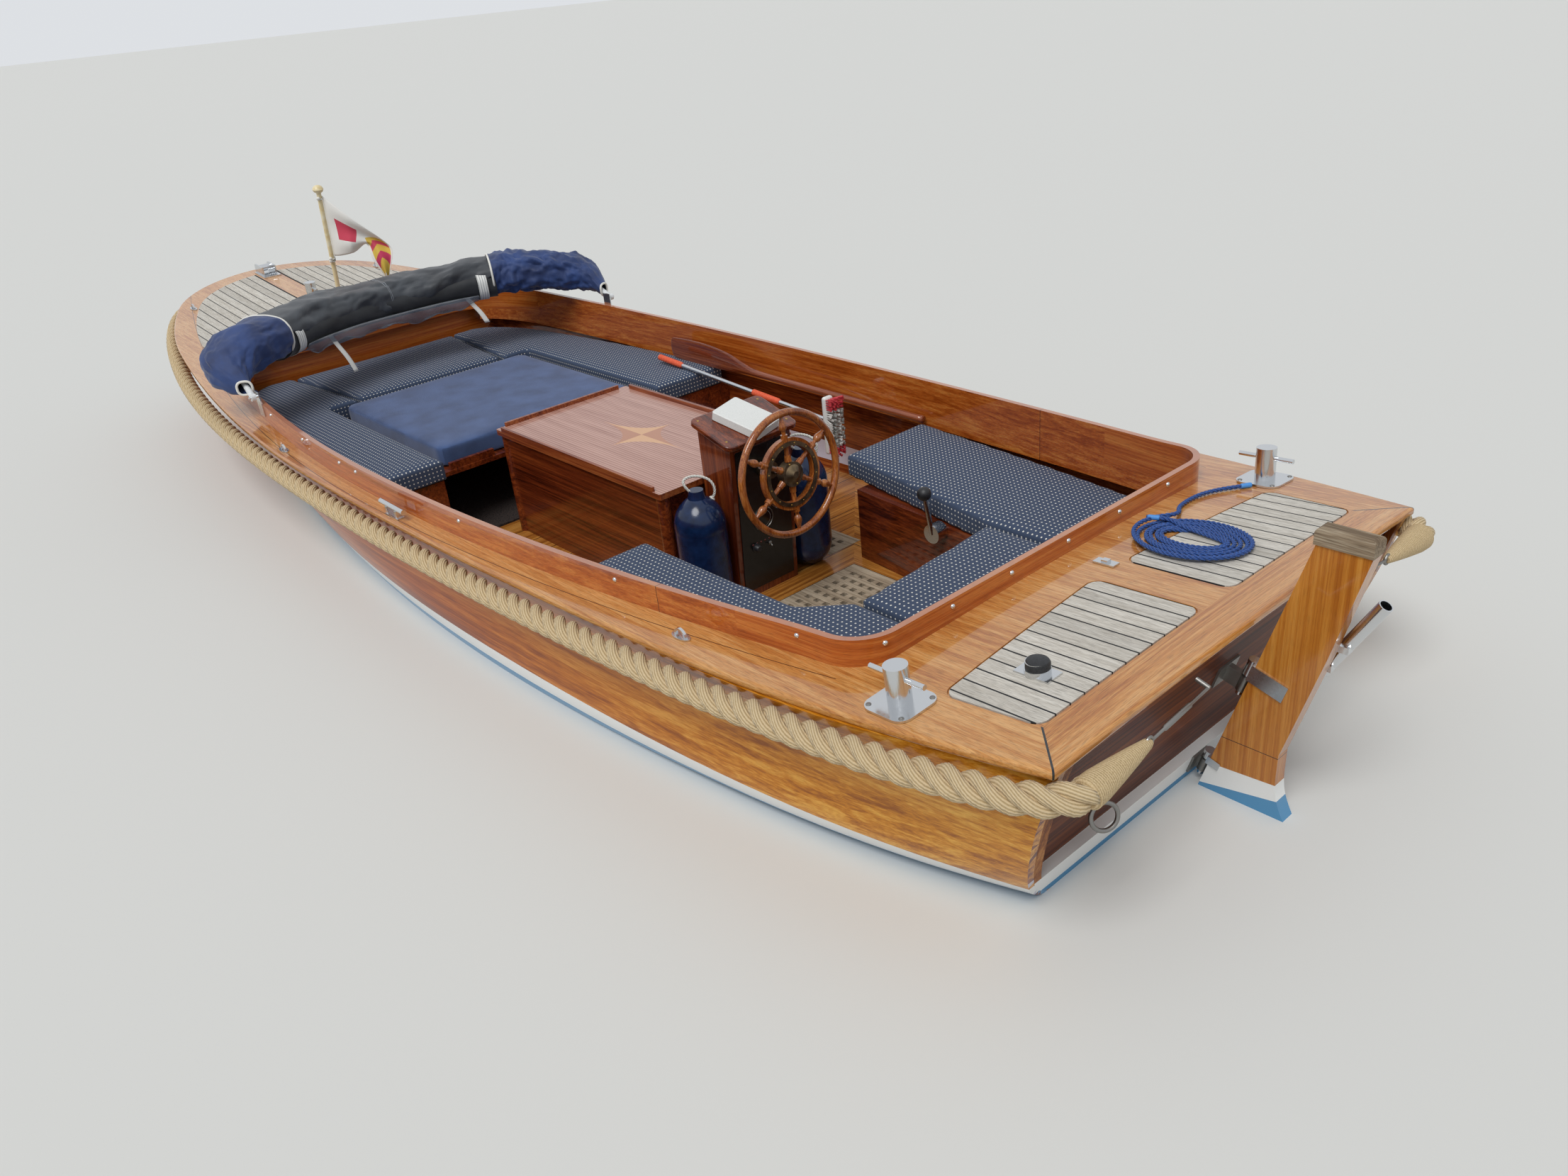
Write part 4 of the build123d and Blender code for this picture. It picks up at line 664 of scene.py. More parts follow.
port_side = [Vector((x, y, sheer(x, y) - ROPE_DROP)) / 1000 for x, y in ROPE_XY]
starboard_side = [Vector((p.x, -p.y, p.z)) for p in reversed(port_side[:-1])]
fender_route = smooth_line(port_side + starboard_side, steps=16)
rope_fender_laid, _, fender_length = laid_rope("rope_fender_laid", fender_route, FENDER_R, FENDER_LAY,
                                               sides=14,
                                               rounds=18, hand=1)
recalculate(rope_fender_laid)
spun_hemp = yarn("spun_hemp", FENDER_HEX, 14, 0.030, rough=0.95, fuzz=330.0, depth=0.0022)
finished(rope_fender_laid, "rope_fender_laid", "rope", spun_hemp)
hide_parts("rope_fender")


# Metal fittings: bollards, cleats, eyes, fairlead and hood feet are stainless steel, polished
# and a little scratched; the ring in the transom is forged and dull.
polished_steel, tree, shader = new_material("polished_steel", metallic=1.0, roughness=0.16)
shader.inputs["Base Color"].default_value = linear("#D6D8DA")
at = add_node(tree, "TexCoord").outputs["Object"]
scratch = add_node(tree, "TexNoise", {"Vector": at, "Scale": 160.0, "Detail": 5.0})
rough = add_node(tree, "MapRange", {"Value": scratch.outputs["Fac"], "To Min": 0.08, "To Max": 0.26})
tree.links.new(rough.outputs[0], shader.inputs["Roughness"])
dress(polished_steel, "bollards", "deck_fittings", "fairlead", "hood_feet", "throttle", "staff_socket",
      "rudder_straps")
worn_steel, tree, shader = new_material("worn_steel", metallic=1.0, roughness=0.38)
shader.inputs["Base Color"].default_value = linear("#8E8C88")
at = add_node(tree, "TexCoord").outputs["Object"]
scratch = add_node(tree, "TexNoise", {"Vector": at, "Scale": 90.0, "Detail": 6.0})
rough = add_node(tree, "MapRange", {"Value": scratch.outputs["Fac"], "To Min": 0.25, "To Max": 0.55})
bump = add_node(tree, "Bump", {"Height": scratch.outputs["Fac"], "Distance": 0.0004, "Strength": 0.5})
tree.links.new(rough.outputs[0], shader.inputs["Roughness"])
tree.links.new(bump.outputs[0], shader.inputs["Normal"])
dress(worn_steel, "transom_ring", "gudgeons")

# Sole and gratings: golden teak boards laid fore and aft with dark seams, round square-holed
# gratings of greyed teak.
SOLE_SHADES = ("#7A4418", "#B0702C", "#CE944C")
FRAME_WIDE = 0.062
FRAME_SEAM = 0.0022
WELL_X, WELL_Y = (-2.085, -1.467), 0.335
sole_varnish, tree, shader = new_material("sole_varnish")
at = add_node(tree, "TexCoord").outputs["Object"]
split = add_node(tree, "SeparateXYZ", {0: at})
past_end = add_node(tree, "Math", {0: split.outputs["X"], 1: -sum(WELL_X) / 2}, operation="ADD")
past_end = add_node(tree, "Math", {0: past_end.outputs[0]}, operation="ABSOLUTE")
past_end = add_node(tree, "Math", {0: past_end.outputs[0], 1: (WELL_X[1] - WELL_X[0]) / 2},
                    operation="SUBTRACT")
past_side = add_node(tree, "Math", {0: split.outputs["Y"]}, operation="ABSOLUTE")
past_side = add_node(tree, "Math", {0: past_side.outputs[0], 1: WELL_Y}, operation="SUBTRACT")
round_well = add_node(tree, "Math", {0: past_end.outputs[0], 1: past_side.outputs[0]}, operation="MAXIMUM")
across = add_node(tree, "Math", {0: past_end.outputs[0], 1: past_side.outputs[0]}, operation="GREATER_THAN")
turned = add_node(tree, "CombineXYZ", {"X": split.outputs["Y"], "Y": split.outputs["X"]})
choice = add_node(tree, "Mix", {0: across.outputs[0], 4: at, 5: turned.outputs[0]}, data_type="VECTOR")
colour, pore = grain(tree, choice.outputs[1], SOLE_SHADES, "X", 0.011, 0.5, pores=0.3)
in_board = add_node(tree, "Math", {0: round_well.outputs[0], 1: FRAME_WIDE}, operation="PINGPONG")
seam = add_node(tree, "Math", {0: in_board.outputs[0], 1: FRAME_SEAM}, operation="LESS_THAN")
colour = add_node(tree, "Mix", {0: seam.outputs[0], 6: colour, 7: linear("#2A1608")}, data_type="RGBA")
varnished(tree, shader, colour.outputs[2], pore, coat_rough=0.15)
grating_teak = timber("grating_teak", ("#7A6A56", "#A5937C", "#BDAD96"), "X", 0.01, 0.3, rough=0.7, coat=0.0)
dress(sole_varnish, "sole")
dress(grating_teak, "gratings")
carpet_pile, tree, shader = new_material("carpet_pile", roughness=1.0)
at = add_node(tree, "TexCoord").outputs["Object"]
tufts = add_node(tree, "TexVoronoi", {"Vector": at, "Scale": 180.0})
colour = add_node(tree, "ValToRGB", {"Fac": tufts.outputs["Distance"]},
                  stops=[(0.0, "#4A3B36"), (0.8, "#15110F")])
bump = add_node(tree, "Bump", {"Height": tufts.outputs["Distance"], "Distance": 0.004}, invert=True)
tree.links.new(colour.outputs[0], shader.inputs["Base Color"])
tree.links.new(bump.outputs[0], shader.inputs["Normal"])
dress(carpet_pile, "carpet")

# Seat bases, engine box and console: mahogany plywood and boards, varnished dark red-brown.
JOINERY_SHADES = ("#3C1409", "#6F2E14", "#93481F")
joinery = timber("joinery", JOINERY_SHADES, "X", 0.013, 0.5, wave=0.9, drift=0.45)
joinery_upright = timber("joinery_upright", JOINERY_SHADES, "Z", 0.013, 0.5, wave=0.9, drift=0.45)
dress(joinery, "aft_seats", "forward_seats", "engine_box", "infill_board", "console_top")
dress(joinery_upright, "console")
dress(worn_steel, "engine", "shaft_tube")

# Engine lid: a tray of striped mahogany laminate, held between low solid fiddles, with a
# four-pointed compass star let into it, each point of two halves of paler veneer.
LID_HEX = ("#8C5A4C", "#B28474", "#C79C8D")
STRIPE_PITCH = 0.0128
STAR_X, STAR_Y = -0.655, 0.003
STAR_LONG, STAR_WIDE = 0.288, 0.155
STAR_HEX = ("#D9A87C", "#B98062")
LID_FACE_Z = 0.4580
laminate, tree, shader = new_material("laminate")
at = add_node(tree, "TexCoord").outputs["Object"]
split = add_node(tree, "SeparateXYZ", {0: at})
waver = add_node(tree, "Mapping", {"Vector": at, "Scale": (2.5, 60.0, 1.0)})
waver = add_node(tree, "TexNoise", {"Vector": waver.outputs[0], "Scale": 1.0, "Detail": 3.0})
shifted = add_node(tree, "Math", {0: waver.outputs["Fac"], 1: 0.012, 2: split.outputs["Y"]},
                   operation="MULTIPLY_ADD")
stripe = add_node(tree, "Math", {0: shifted.outputs[0], 1: math.tau / STRIPE_PITCH}, operation="MULTIPLY")
stripe = add_node(tree, "Math", {0: stripe.outputs[0]}, operation="SINE")
tone = add_node(tree, "Math", {0: stripe.outputs[0], 1: 0.17, 2: 0.5}, operation="MULTIPLY_ADD")
tone = add_node(tree, "Math", {0: waver.outputs["Fac"], 1: 0.5, 2: tone.outputs[0]}, operation="MULTIPLY_ADD")
colour = add_node(tree, "ValToRGB", {"Fac": tone.outputs[0]},
                  stops=[(0.45, LID_HEX[0]), (0.72, LID_HEX[1]), (0.95, LID_HEX[2])])
arms = []
for axis, centre, reach in (("X", STAR_X, STAR_LONG), ("Y", STAR_Y, STAR_WIDE)):
    arm = add_node(tree, "Math", {0: split.outputs[axis], 1: centre}, operation="SUBTRACT")
    size = add_node(tree, "Math", {0: arm.outputs[0]}, operation="ABSOLUTE")
    share = add_node(tree, "Math", {0: size.outputs[0], 1: reach}, operation="DIVIDE")
    arms.append((arm, add_node(tree, "Math", {0: share.outputs[0], 1: 0.52}, operation="POWER")))
inside = add_node(tree, "Math", {0: arms[0][1].outputs[0], 1: arms[1][1].outputs[0]}, operation="ADD")
inside = add_node(tree, "Math", {0: inside.outputs[0], 1: 1.0}, operation="LESS_THAN")
half = add_node(tree, "Math", {0: arms[0][0].outputs[0], 1: arms[1][0].outputs[0]}, operation="MULTIPLY")
half = add_node(tree, "Math", {0: half.outputs[0], 1: 0.0}, operation="GREATER_THAN")
veneer = add_node(tree, "Mix", {0: half.outputs[0], 6: linear(STAR_HEX[0]), 7: linear(STAR_HEX[1])},
                  data_type="RGBA")
colour = add_node(tree, "Mix", {0: inside.outputs[0], 6: colour.outputs[0], 7: veneer.outputs[2]},
                  data_type="RGBA")
solid, pore = grain(tree, at, ("#5E2410", "#8E4420", "#AD6434"), "X", 0.012, 0.5)
facing = add_node(tree, "SeparateXYZ", {0: add_node(tree, "NewGeometry").outputs["Normal"]})
upward = add_node(tree, "Math", {0: facing.outputs["Z"], 1: 0.9}, operation="GREATER_THAN")
low = add_node(tree, "Math", {0: split.outputs["Z"], 1: LID_FACE_Z}, operation="LESS_THAN")
on_face = add_node(tree, "Math", {0: upward.outputs[0], 1: low.outputs[0]}, operation="MULTIPLY")
colour = add_node(tree, "Mix", {0: on_face.outputs[0], 6: solid, 7: colour.outputs[2]}, data_type="RGBA")
varnished(tree, shader, colour.outputs[2], pore, rough=0.4, coat=0.6, coat_rough=0.16)
dress(laminate, "engine_lid")

# Rudder: one mahogany board, varnished, under a weathered oak cap; white and blue paint below.
RUDDER_SHADES = ("#A05818", "#BA7428", "#CE8E3E")
RUDDER_JOINT = (0.1790, 0.1812)
PAINT_LINES = ((0.078, -0.163, BOOT_HEX), (0.187, -0.576, ANTIFOULING_HEX))
rudder_varnish, tree, shader = new_material("rudder_varnish")
at = add_node(tree, "TexCoord").outputs["Object"]
colour, pore = grain(tree, at, RUDDER_SHADES, "Z", 0.022, 1.0, wave=0.6, drift=0.4, pores=0.15)
split = add_node(tree, "SeparateXYZ", {0: at})
colour = banded(tree, split.outputs["Z"], (RUDDER_JOINT,), ("#3A1A0A",), colour)
for slope, line, code in PAINT_LINES:
    height = add_node(tree, "Math", {0: split.outputs["X"], 1: slope, 2: split.outputs["Z"]},
                      operation="MULTIPLY_ADD")
    colour = banded(tree, height.outputs[0], ((-9, line),), (code,), colour)
varnished(tree, shader, colour, pore)
dress(rudder_varnish, "rudder")
grey_oak = timber("grey_oak", ("#6E5C48", "#8F7D66", "#AFA18B"), "X", 0.008, 0.2, rough=0.8, coat=0.0)
dress(grey_oak, "rudder_cap")

# Wheel: turned and jointed mahogany round a bronze hub and two bronze rings.
wheel_varnish = timber("wheel_varnish", ("#6A2F10", "#9C5320", "#BF7A3C"), "Z", 0.008, 0.1, wave=2.0)
dress(wheel_varnish, "wheel_wood")
dark_bronze, tree, shader = new_material("dark_bronze", metallic=1.0, roughness=0.4)
at = add_node(tree, "TexCoord").outputs["Object"]
patina = add_node(tree, "TexNoise", {"Vector": at, "Scale": 40.0, "Detail": 6.0})
colour = add_node(tree, "ValToRGB", {"Fac": patina.outputs["Fac"]},
                  stops=[(0.3, "#54483A"), (0.7, "#8C785C")])
tree.links.new(colour.outputs[0], shader.inputs["Base Color"])
dress(dark_bronze, "wheel_hub", "wheel_boss", "propeller")

# Instrument panel and the white device on the console: moulded plastics.
black_acrylic, tree, shader = new_material("black_acrylic", roughness=0.25)
at = add_node(tree, "TexCoord").outputs["Object"]
dust = add_node(tree, "TexNoise", {"Vector": at, "Scale": 60.0, "Detail": 6.0})
colour = add_node(tree, "ValToRGB", {"Fac": dust.outputs["Fac"]}, stops=[(0.3, "#0B0B0C"), (0.8, "#1E1E20")])
tree.links.new(colour.outputs[0], shader.inputs["Base Color"])
dress(black_acrylic, "instrument_panel")
white_abs, tree, shader = new_material("white_abs", roughness=0.45)
at = add_node(tree, "TexCoord").outputs["Object"]
dust = add_node(tree, "TexNoise", {"Vector": at, "Scale": 400.0, "Detail": 2.0})
colour = add_node(tree, "ValToRGB", {"Fac": dust.outputs["Fac"]}, stops=[(0.3, "#DADCD8"), (0.7, "#ECEDEA")])
tree.links.new(colour.outputs[0], shader.inputs["Base Color"])
dress(white_abs, "white_box")

# Fenders: two cylindrical vinyl fenders stand beside the console, dark blue and glossy.
fender_vinyl, tree, shader = new_material("fender_vinyl", roughness=0.18)
at = add_node(tree, "TexCoord").outputs["Object"]
scuff = add_node(tree, "TexNoise", {"Vector": at, "Scale": 30.0, "Detail": 6.0})
colour = add_node(tree, "ValToRGB", {"Fac": scuff.outputs["Fac"]},
                  stops=[(0.3, "#081A38"), (0.75, "#142E57")])
tree.links.new(colour.outputs[0], shader.inputs["Base Color"])
dress(fender_vinyl, "fenders")


# Seat cushions: foam slabs in slate-navy woven covers with a small off-white fleck, set in
# square rows. The rows are drawn 18 mm apart, coarser than the real 13 mm, so that they show.
SLATE_HEX = ("#2E3A50", "#41506A")
DOT_HEX = "#DEDCD4"
DOT_PITCH = 0.0180
DOT_R = 0.0029
VOXEL = 0.013
SWELL = 0.007
SHRINK = 0.003


def fabric_plane(tree):
    """Coordinates laid on whichever of the three planes a face looks along most."""
    at = add_node(tree, "TexCoord").outputs["Object"]
    way = add_node(tree, "NewGeometry").outputs["Normal"]
    place = add_node(tree, "SeparateXYZ", {0: at})
    facing = add_node(tree, "SeparateXYZ", {0: way})
    size = {axis: add_node(tree, "Math", {0: facing.outputs[axis]},
                           operation="ABSOLUTE").outputs[0] for axis in "XYZ"}
    flat = add_node(tree, "CombineXYZ", {"X": place.outputs["X"], "Y": place.outputs["Y"]})
    end = add_node(tree, "CombineXYZ", {"X": place.outputs["Z"], "Y": place.outputs["Y"]})
    side = add_node(tree, "CombineXYZ", {"X": place.outputs["X"], "Y": place.outputs["Z"]})
    is_end = add_node(tree, "Math", {0: size["X"], 1: size["Y"]}, operation="GREATER_THAN")
    upright = add_node(tree, "Mix", {0: is_end.outputs[0], 4: side.outputs[0], 5: end.outputs[0]},
                       data_type="VECTOR")
    is_flat = add_node(tree, "Math", {0: size["Z"], 1: 0.62}, operation="GREATER_THAN")
    return add_node(tree, "Mix", {0: is_flat.outputs[0], 4: upright.outputs[1], 5: flat.outputs[0]},
                    data_type="VECTOR").outputs[1]


dotted_cloth, tree, shader = new_material("dotted_cloth", roughness=0.9)
shader.inputs["Sheen Weight"].default_value = 0.06
flat = fabric_plane(tree)
turned = add_node(tree, "Mapping", {"Vector": flat, "Scale": (1 / DOT_PITCH,) * 3})
split = add_node(tree, "SeparateXYZ", {0: turned.outputs[0]})
offsets = []
for axis in "XY":
    part = add_node(tree, "Math", {0: split.outputs[axis]}, operation="FRACT")
    part = add_node(tree, "Math", {0: part.outputs[0], 1: 0.5}, operation="SUBTRACT")
    offsets.append(add_node(tree, "Math", {0: part.outputs[0], 1: part.outputs[0]}, operation="MULTIPLY"))
away = add_node(tree, "Math", {0: offsets[0].outputs[0], 1: offsets[1].outputs[0]}, operation="ADD")
away = add_node(tree, "Math", {0: away.outputs[0]}, operation="SQRT")
dot = add_node(tree, "Math", {0: away.outputs[0], 1: DOT_R / DOT_PITCH}, operation="LESS_THAN")
weave = add_node(tree, "TexNoise", {"Vector": flat, "Scale": 900.0, "Detail": 2.0})
ground = add_node(tree, "ValToRGB", {"Fac": weave.outputs["Fac"]},
                  stops=[(0.3, SLATE_HEX[0]), (0.7, SLATE_HEX[1])])
colour = add_node(tree, "Mix", {0: dot.outputs[0], 6: ground.outputs[0], 7: linear(DOT_HEX)},
                  data_type="RGBA")
bump = add_node(tree, "Bump", {"Height": weave.outputs["Fac"], "Distance": 0.0006, "Strength": 0.5})
tree.links.new(colour.outputs[2], shader.inputs["Base Color"])
tree.links.new(bump.outputs[0], shader.inputs["Normal"])


def copies_of(node, name):
    """Each solid of a CAD node as an object of its own, with its doubled points merged."""
    copy = bpy.data.objects.new(name, nodes[node].data.copy())
    bpy.context.scene.collection.objects.link(copy)
    bpy.ops.object.select_all(action="DESELECT")
    copy.select_set(True)
    bpy.context.view_layer.objects.active = copy
    bpy.ops.object.mode_set(mode="EDIT")
    bpy.ops.mesh.select_all(action="SELECT")
    bpy.ops.mesh.remove_doubles(threshold=0.00005)
    bpy.ops.mesh.separate(type="LOOSE")
    bpy.ops.object.mode_set(mode="OBJECT")
    parts = list(bpy.context.selected_objects)
    bpy.ops.object.select_all(action="DESELECT")
    return sorted(parts, key=lambda part: tuple(round(c, 3) for c in middle(part)))


def middle(piece):
    """Middle of a piece's bounding box."""
    corners = [Vector(c) for c in piece.bound_box]
    return (Vector(map(min, *corners)) + Vector(map(max, *corners))) / 2


def apply_all(piece):
    """Applies a piece's modifiers in order."""
    bpy.context.view_layer.objects.active = piece
    for modifier in list(piece.modifiers):
        bpy.ops.object.modifier_apply(modifier=modifier.name)


def stuffed(piece, voxel, swell, pressure=4.0, frames=16, shrink=SHRINK):
    """Swells a cushion's cover with a cloth simulation, capped, and keeps its underside flat."""
    low = min(v.co.z for v in piece.data.vertices)
    remesh = piece.modifiers.new("remesh", "REMESH")
    remesh.mode = "VOXEL"
    remesh.voxel_size = voxel
    apply_all(piece)
    inwards = piece.modifiers.new("inwards", "DISPLACE")
    inwards.strength = -shrink
    inwards.mid_level = 0.0
    relax = piece.modifiers.new("relax", "SMOOTH")
    relax.iterations = 4
    relax.factor = 0.5
    apply_all(piece)
    start = [v.co.copy() for v in piece.data.vertices]
    cloth = piece.modifiers.new("cloth", "CLOTH")
    cloth.settings.use_pressure = True
    cloth.settings.uniform_pressure_force = pressure
    cloth.settings.effector_weights.gravity = 0.0
    cloth.settings.quality = 4
    cloth.point_cache.frame_end = frames
    for number in range(1, frames + 1):
        bpy.context.scene.frame_set(number)
    apply_all(piece)
    bpy.context.scene.frame_set(1)
    for vertex, rest in zip(piece.data.vertices, start):
        move = vertex.co - rest
        if move.length > swell:
            vertex.co = rest + move * (swell / move.length)
        vertex.co.z = max(vertex.co.z, low + 0.0004)
    bpy.ops.object.select_all(action="DESELECT")
    piece.select_set(True)
    bpy.ops.object.shade_smooth()
    piece.select_set(False)


for node, side in (("cushions_aft", "aft"), ("cushions_fore", "fore")):
    for number, cushion in enumerate(copies_of(node, side)):
        stuffed(cushion, VOXEL, SWELL)
        finished(cushion, f"cushion_{side}_{number}", "navy_fabric", dotted_cloth)
        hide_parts(node)

# Infill cushion: a firm foam slab in plain blue denim, between the forward cushions.
DENIM_HEX = ("#2C3F64", "#48608E")
denim_cloth, tree, shader = new_material("denim_cloth", roughness=0.95)
shader.inputs["Sheen Weight"].default_value = 0.3
flat = fabric_plane(tree)
twill = add_node(tree, "TexWave", {"Vector": flat, "Scale": 260.0, "Distortion": 1.5, "Detail": 2.0},
                 bands_direction="DIAGONAL")
fade = add_node(tree, "TexNoise", {"Vector": flat, "Scale": 7.0, "Detail": 5.0})
tone = add_node(tree, "Math", {0: twill.outputs["Fac"], 1: 0.25, 2: fade.outputs["Fac"]},
                operation="MULTIPLY_ADD")
colour = add_node(tree, "ValToRGB", {"Fac": tone.outputs[0]},
                  stops=[(0.35, DENIM_HEX[0]), (0.85, DENIM_HEX[1])])
bump = add_node(tree, "Bump", {"Height": twill.outputs["Fac"], "Distance": 0.0005, "Strength": 0.4})
tree.links.new(colour.outputs[0], shader.inputs["Base Color"])
tree.links.new(bump.outputs[0], shader.inputs["Normal"])
infill = copies_of("infill_cushion", "infill")[0]
stuffed(infill, 0.011, 0.006)
finished(infill, "cushion_infill", "denim", denim_cloth)
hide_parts("infill_cushion")


# Folded hood: the sprayhood lies down in a roll across the foredeck. Its middle is laced into a
# charcoal coated cover, its navy ends hang out with white piping, and its window shows below.
CHARCOAL_HEX = ("#272A2F", "#3E4349")
NAVY_HEX = ("#11224A", "#24427C")
PIPING_HEX = "#E6E4DC"
HOOD_ROLL = (
    # y, x, z, width, height, turn in plan in degrees
    (1000, 1045, 640, 96, 84, 62),
    (905, 1150, 696, 200, 150, 50),
    (640, 1370, 742, 264, 172, 30),
    (330, 1500, 750, 286, 170, 14),
    (0, 1550, 745, 290, 166, 0),
)
PORT_WING = (
    (700, 1325, 742, 284, 188, 33),
    (800, 1250, 738, 276, 196, 40),
    (905, 1185, 716, 250, 190, 50),
    (965, 1112, 690, 196, 152, 58),
    (978, 1045, 656, 122, 112, 62),
    (955, 990, 622, 62, 58, 64),
)
STARBOARD_WING = (
    (-545, 1425, 747, 284, 186, -24),
    (-640, 1372, 746, 272, 192, -30),
    (-760, 1280, 738, 262, 184, -38),
    (-880, 1184, 714, 222, 178, -50),
    (-958, 1092, 678, 150, 128, -60),
    (-955, 990, 622, 62, 58, -64),
)
COVER_FROM, COVER_TO = 0.212, 0.722
SEAM_AT = (0.49 - COVER_FROM) / (COVER_TO - COVER_FROM)
sections = list(HOOD_ROLL) + [(-y, x, z, w, h, -t) for y, x, z, w, h, t in reversed(HOOD_ROLL[:-1])]


def between(rows, share):
    """Row of values at a share of the way through a table, eased between its rows."""
    place = share * (len(rows) - 1)
    k = min(int(place), len(rows) - 2)
    w = place - k
    p0, p1 = rows[max(k - 1, 0)], rows[min(k + 2, len(rows) - 1)]
    out = []
    for a, b, c, d in zip(p0, rows[k], rows[k + 1], p1):
        out.append(b + 0.5 * w * (c - a + w * (2 * a - 5 * b + 4 * c - d + w * (3 * (b - c) + d - a))))
    return out


def roll_point(rows, share, turn, size=1.0, fold=0.0, drop=0.0):
    """Point on a roll: share along it, turn round it from its fore side over the top."""
    y, x, z, wide, high, way = between(rows, share)
    angle = math.tau * turn
    c, s = math.cos(angle), math.sin(angle)
    power = 2 / 2.6
    u = math.copysign(abs(c) ** power, c) * wide / 2 * size
    v = math.copysign(abs(s) ** power, s) * high / 2 * size
    turned = math.radians(way)
    out = Vector((math.cos(turned) * u, math.sin(turned) * u, v))
    return (Vector((x - 0.7 * drop, y, z - drop)) + out * (1 + fold)) / 1000


def crease(share, turn, depth, along, round_it, seed):
    """Depth of the cloth's folds at a place on a roll."""
    place = Vector((share * along + seed, math.cos(math.tau * turn) * round_it,
                    math.sin(math.tau * turn) * round_it))
    ridge = 0.5 - abs(noise.noise(place))
    return depth * (ridge + 0.45 * noise.noise(place * 2.4) + 0.2 * noise.noise(place * 5.1) - 0.3)


def cloth_sheet(name, across, along, place, thick):
    """Sheet of cloth through a grid of places, with its own map, given its thickness; and its flat area."""
    points = [place(i / across, j / along) for j in range(along + 1) for i in range(across + 1)]
    faces = [(j * (across + 1) + i, j * (across + 1) + i + 1, (j + 1) * (across + 1) + i + 1,
              (j + 1) * (across + 1) + i)
             for j in range(along) for i in range(across)]
    mesh = bpy.data.meshes.new(name)
    mesh.from_pydata(points, [], faces)
    made = bpy.data.objects.new(name, mesh)
    bpy.context.scene.collection.objects.link(made)
    layer = mesh.uv_layers.new(name="lay")
    for polygon in mesh.polygons:
        for corner in polygon.loop_indices:
            j, i = divmod(mesh.loops[corner].vertex_index, across + 1)
            layer.data[corner].uv = (i / across, j / along)
    area = sum(polygon.area for polygon in mesh.polygons)
    rows = [points[j * (across + 1):(j + 1) * (across + 1)] for j in range(along + 1)]
    wide = max(sum((b - a).length for a, b in zip(row, row[1:])) for row in rows)
    long = max(sum((b - a).length for a, b in zip(column, column[1:])) for column in zip(*rows))
    solid = made.modifiers.new("thickness", "SOLIDIFY")
    solid.thickness = thick
    solid.offset = 0.0
    apply_all(made)
    for polygon in made.data.polygons:
        polygon.use_smooth = True
    return made, (wide, long), area


def canvas(name, shades, stitch_at=None, rough=0.6):
    """Woven, proofed canvas that fades in patches, with a pale stitched seam where one is asked for."""
    made, tree, shader = new_material(name, roughness=rough)
    shader.inputs["Sheen Weight"].default_value = 0.2
    at = add_node(tree, "TexCoord").outputs["Object"]
    fade = add_node(tree, "TexNoise", {"Vector": at, "Scale": 7.0, "Detail": 5.0})
    weave = add_node(tree, "TexNoise", {"Vector": at, "Scale": 700.0, "Detail": 2.0})
    colour = add_node(tree, "ValToRGB", {"Fac": fade.outputs["Fac"]},
                      stops=[(0.3, shades[0]), (0.72, shades[1])])
    last = colour.outputs[0]
    if stitch_at is not None:
        lay = add_node(tree, "SeparateXYZ", {0: add_node(tree, "UVMap", uv_map="lay").outputs[0]})
        for offset in (-0.0035, 0.0035):
            off = add_node(tree, "Math", {0: lay.outputs["X"], 1: stitch_at + offset}, operation="SUBTRACT")
            off = add_node(tree, "Math", {0: off.outputs[0]}, operation="ABSOLUTE")
            line = add_node(tree, "Math", {0: off.outputs[0], 1: 0.0009}, operation="LESS_THAN")
            last = add_node(tree, "Mix", {0: line.outputs[0], 6: last, 7: linear("#8D939A")},
                            data_type="RGBA").outputs[2]
    bump = add_node(tree, "Bump", {"Height": weave.outputs["Fac"], "Distance": 0.0006, "Strength": 0.5})
    tree.links.new(last, shader.inputs["Base Color"])
    tree.links.new(bump.outputs[0], shader.inputs["Normal"])
    return made


def cover_edge(u):
    """Turn at which the cover's lower edge lies, higher at its ends where the roll shows."""
    ends = max(0.0, 1 - u / 0.34) * 0.15 + max(0.0, (u - 0.70) / 0.30) * 0.13
    return 0.610 - ends + 0.008 * math.sin(u * 23)


def cover_place(u, v):
    """Place on the charcoal cover."""
    share = COVER_FROM + (COVER_TO - COVER_FROM) * u
    edge = cover_edge(u)
    turn = edge + (-0.13 - edge) * v
    fold = crease(share + turn * 0.12, turn, 0.34, 8, 0.7, 3.0) + crease(share + turn * 0.25, turn, 0.06, 26,
                                                                         0.5, 11.0)
    fold += 0.07 * max(0.0, 1 - v * 9)
    tight = min(1.0, 0.35 + v * 2.2) * min(1, 4 * u + 0.3, 4 * (1 - u) + 0.3)
    return roll_point(sections, share, turn, 1.0, fold * (0.35 + 0.65 * tight))


cover, flat, area = cloth_sheet("hood_cover", 190, 60, cover_place, 0.002)
coated_canvas = canvas("coated_canvas", CHARCOAL_HEX, SEAM_AT, rough=0.5)
finished(cover, "hood_cover", "charcoal_cover", coated_canvas, body="hood")
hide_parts("hood")

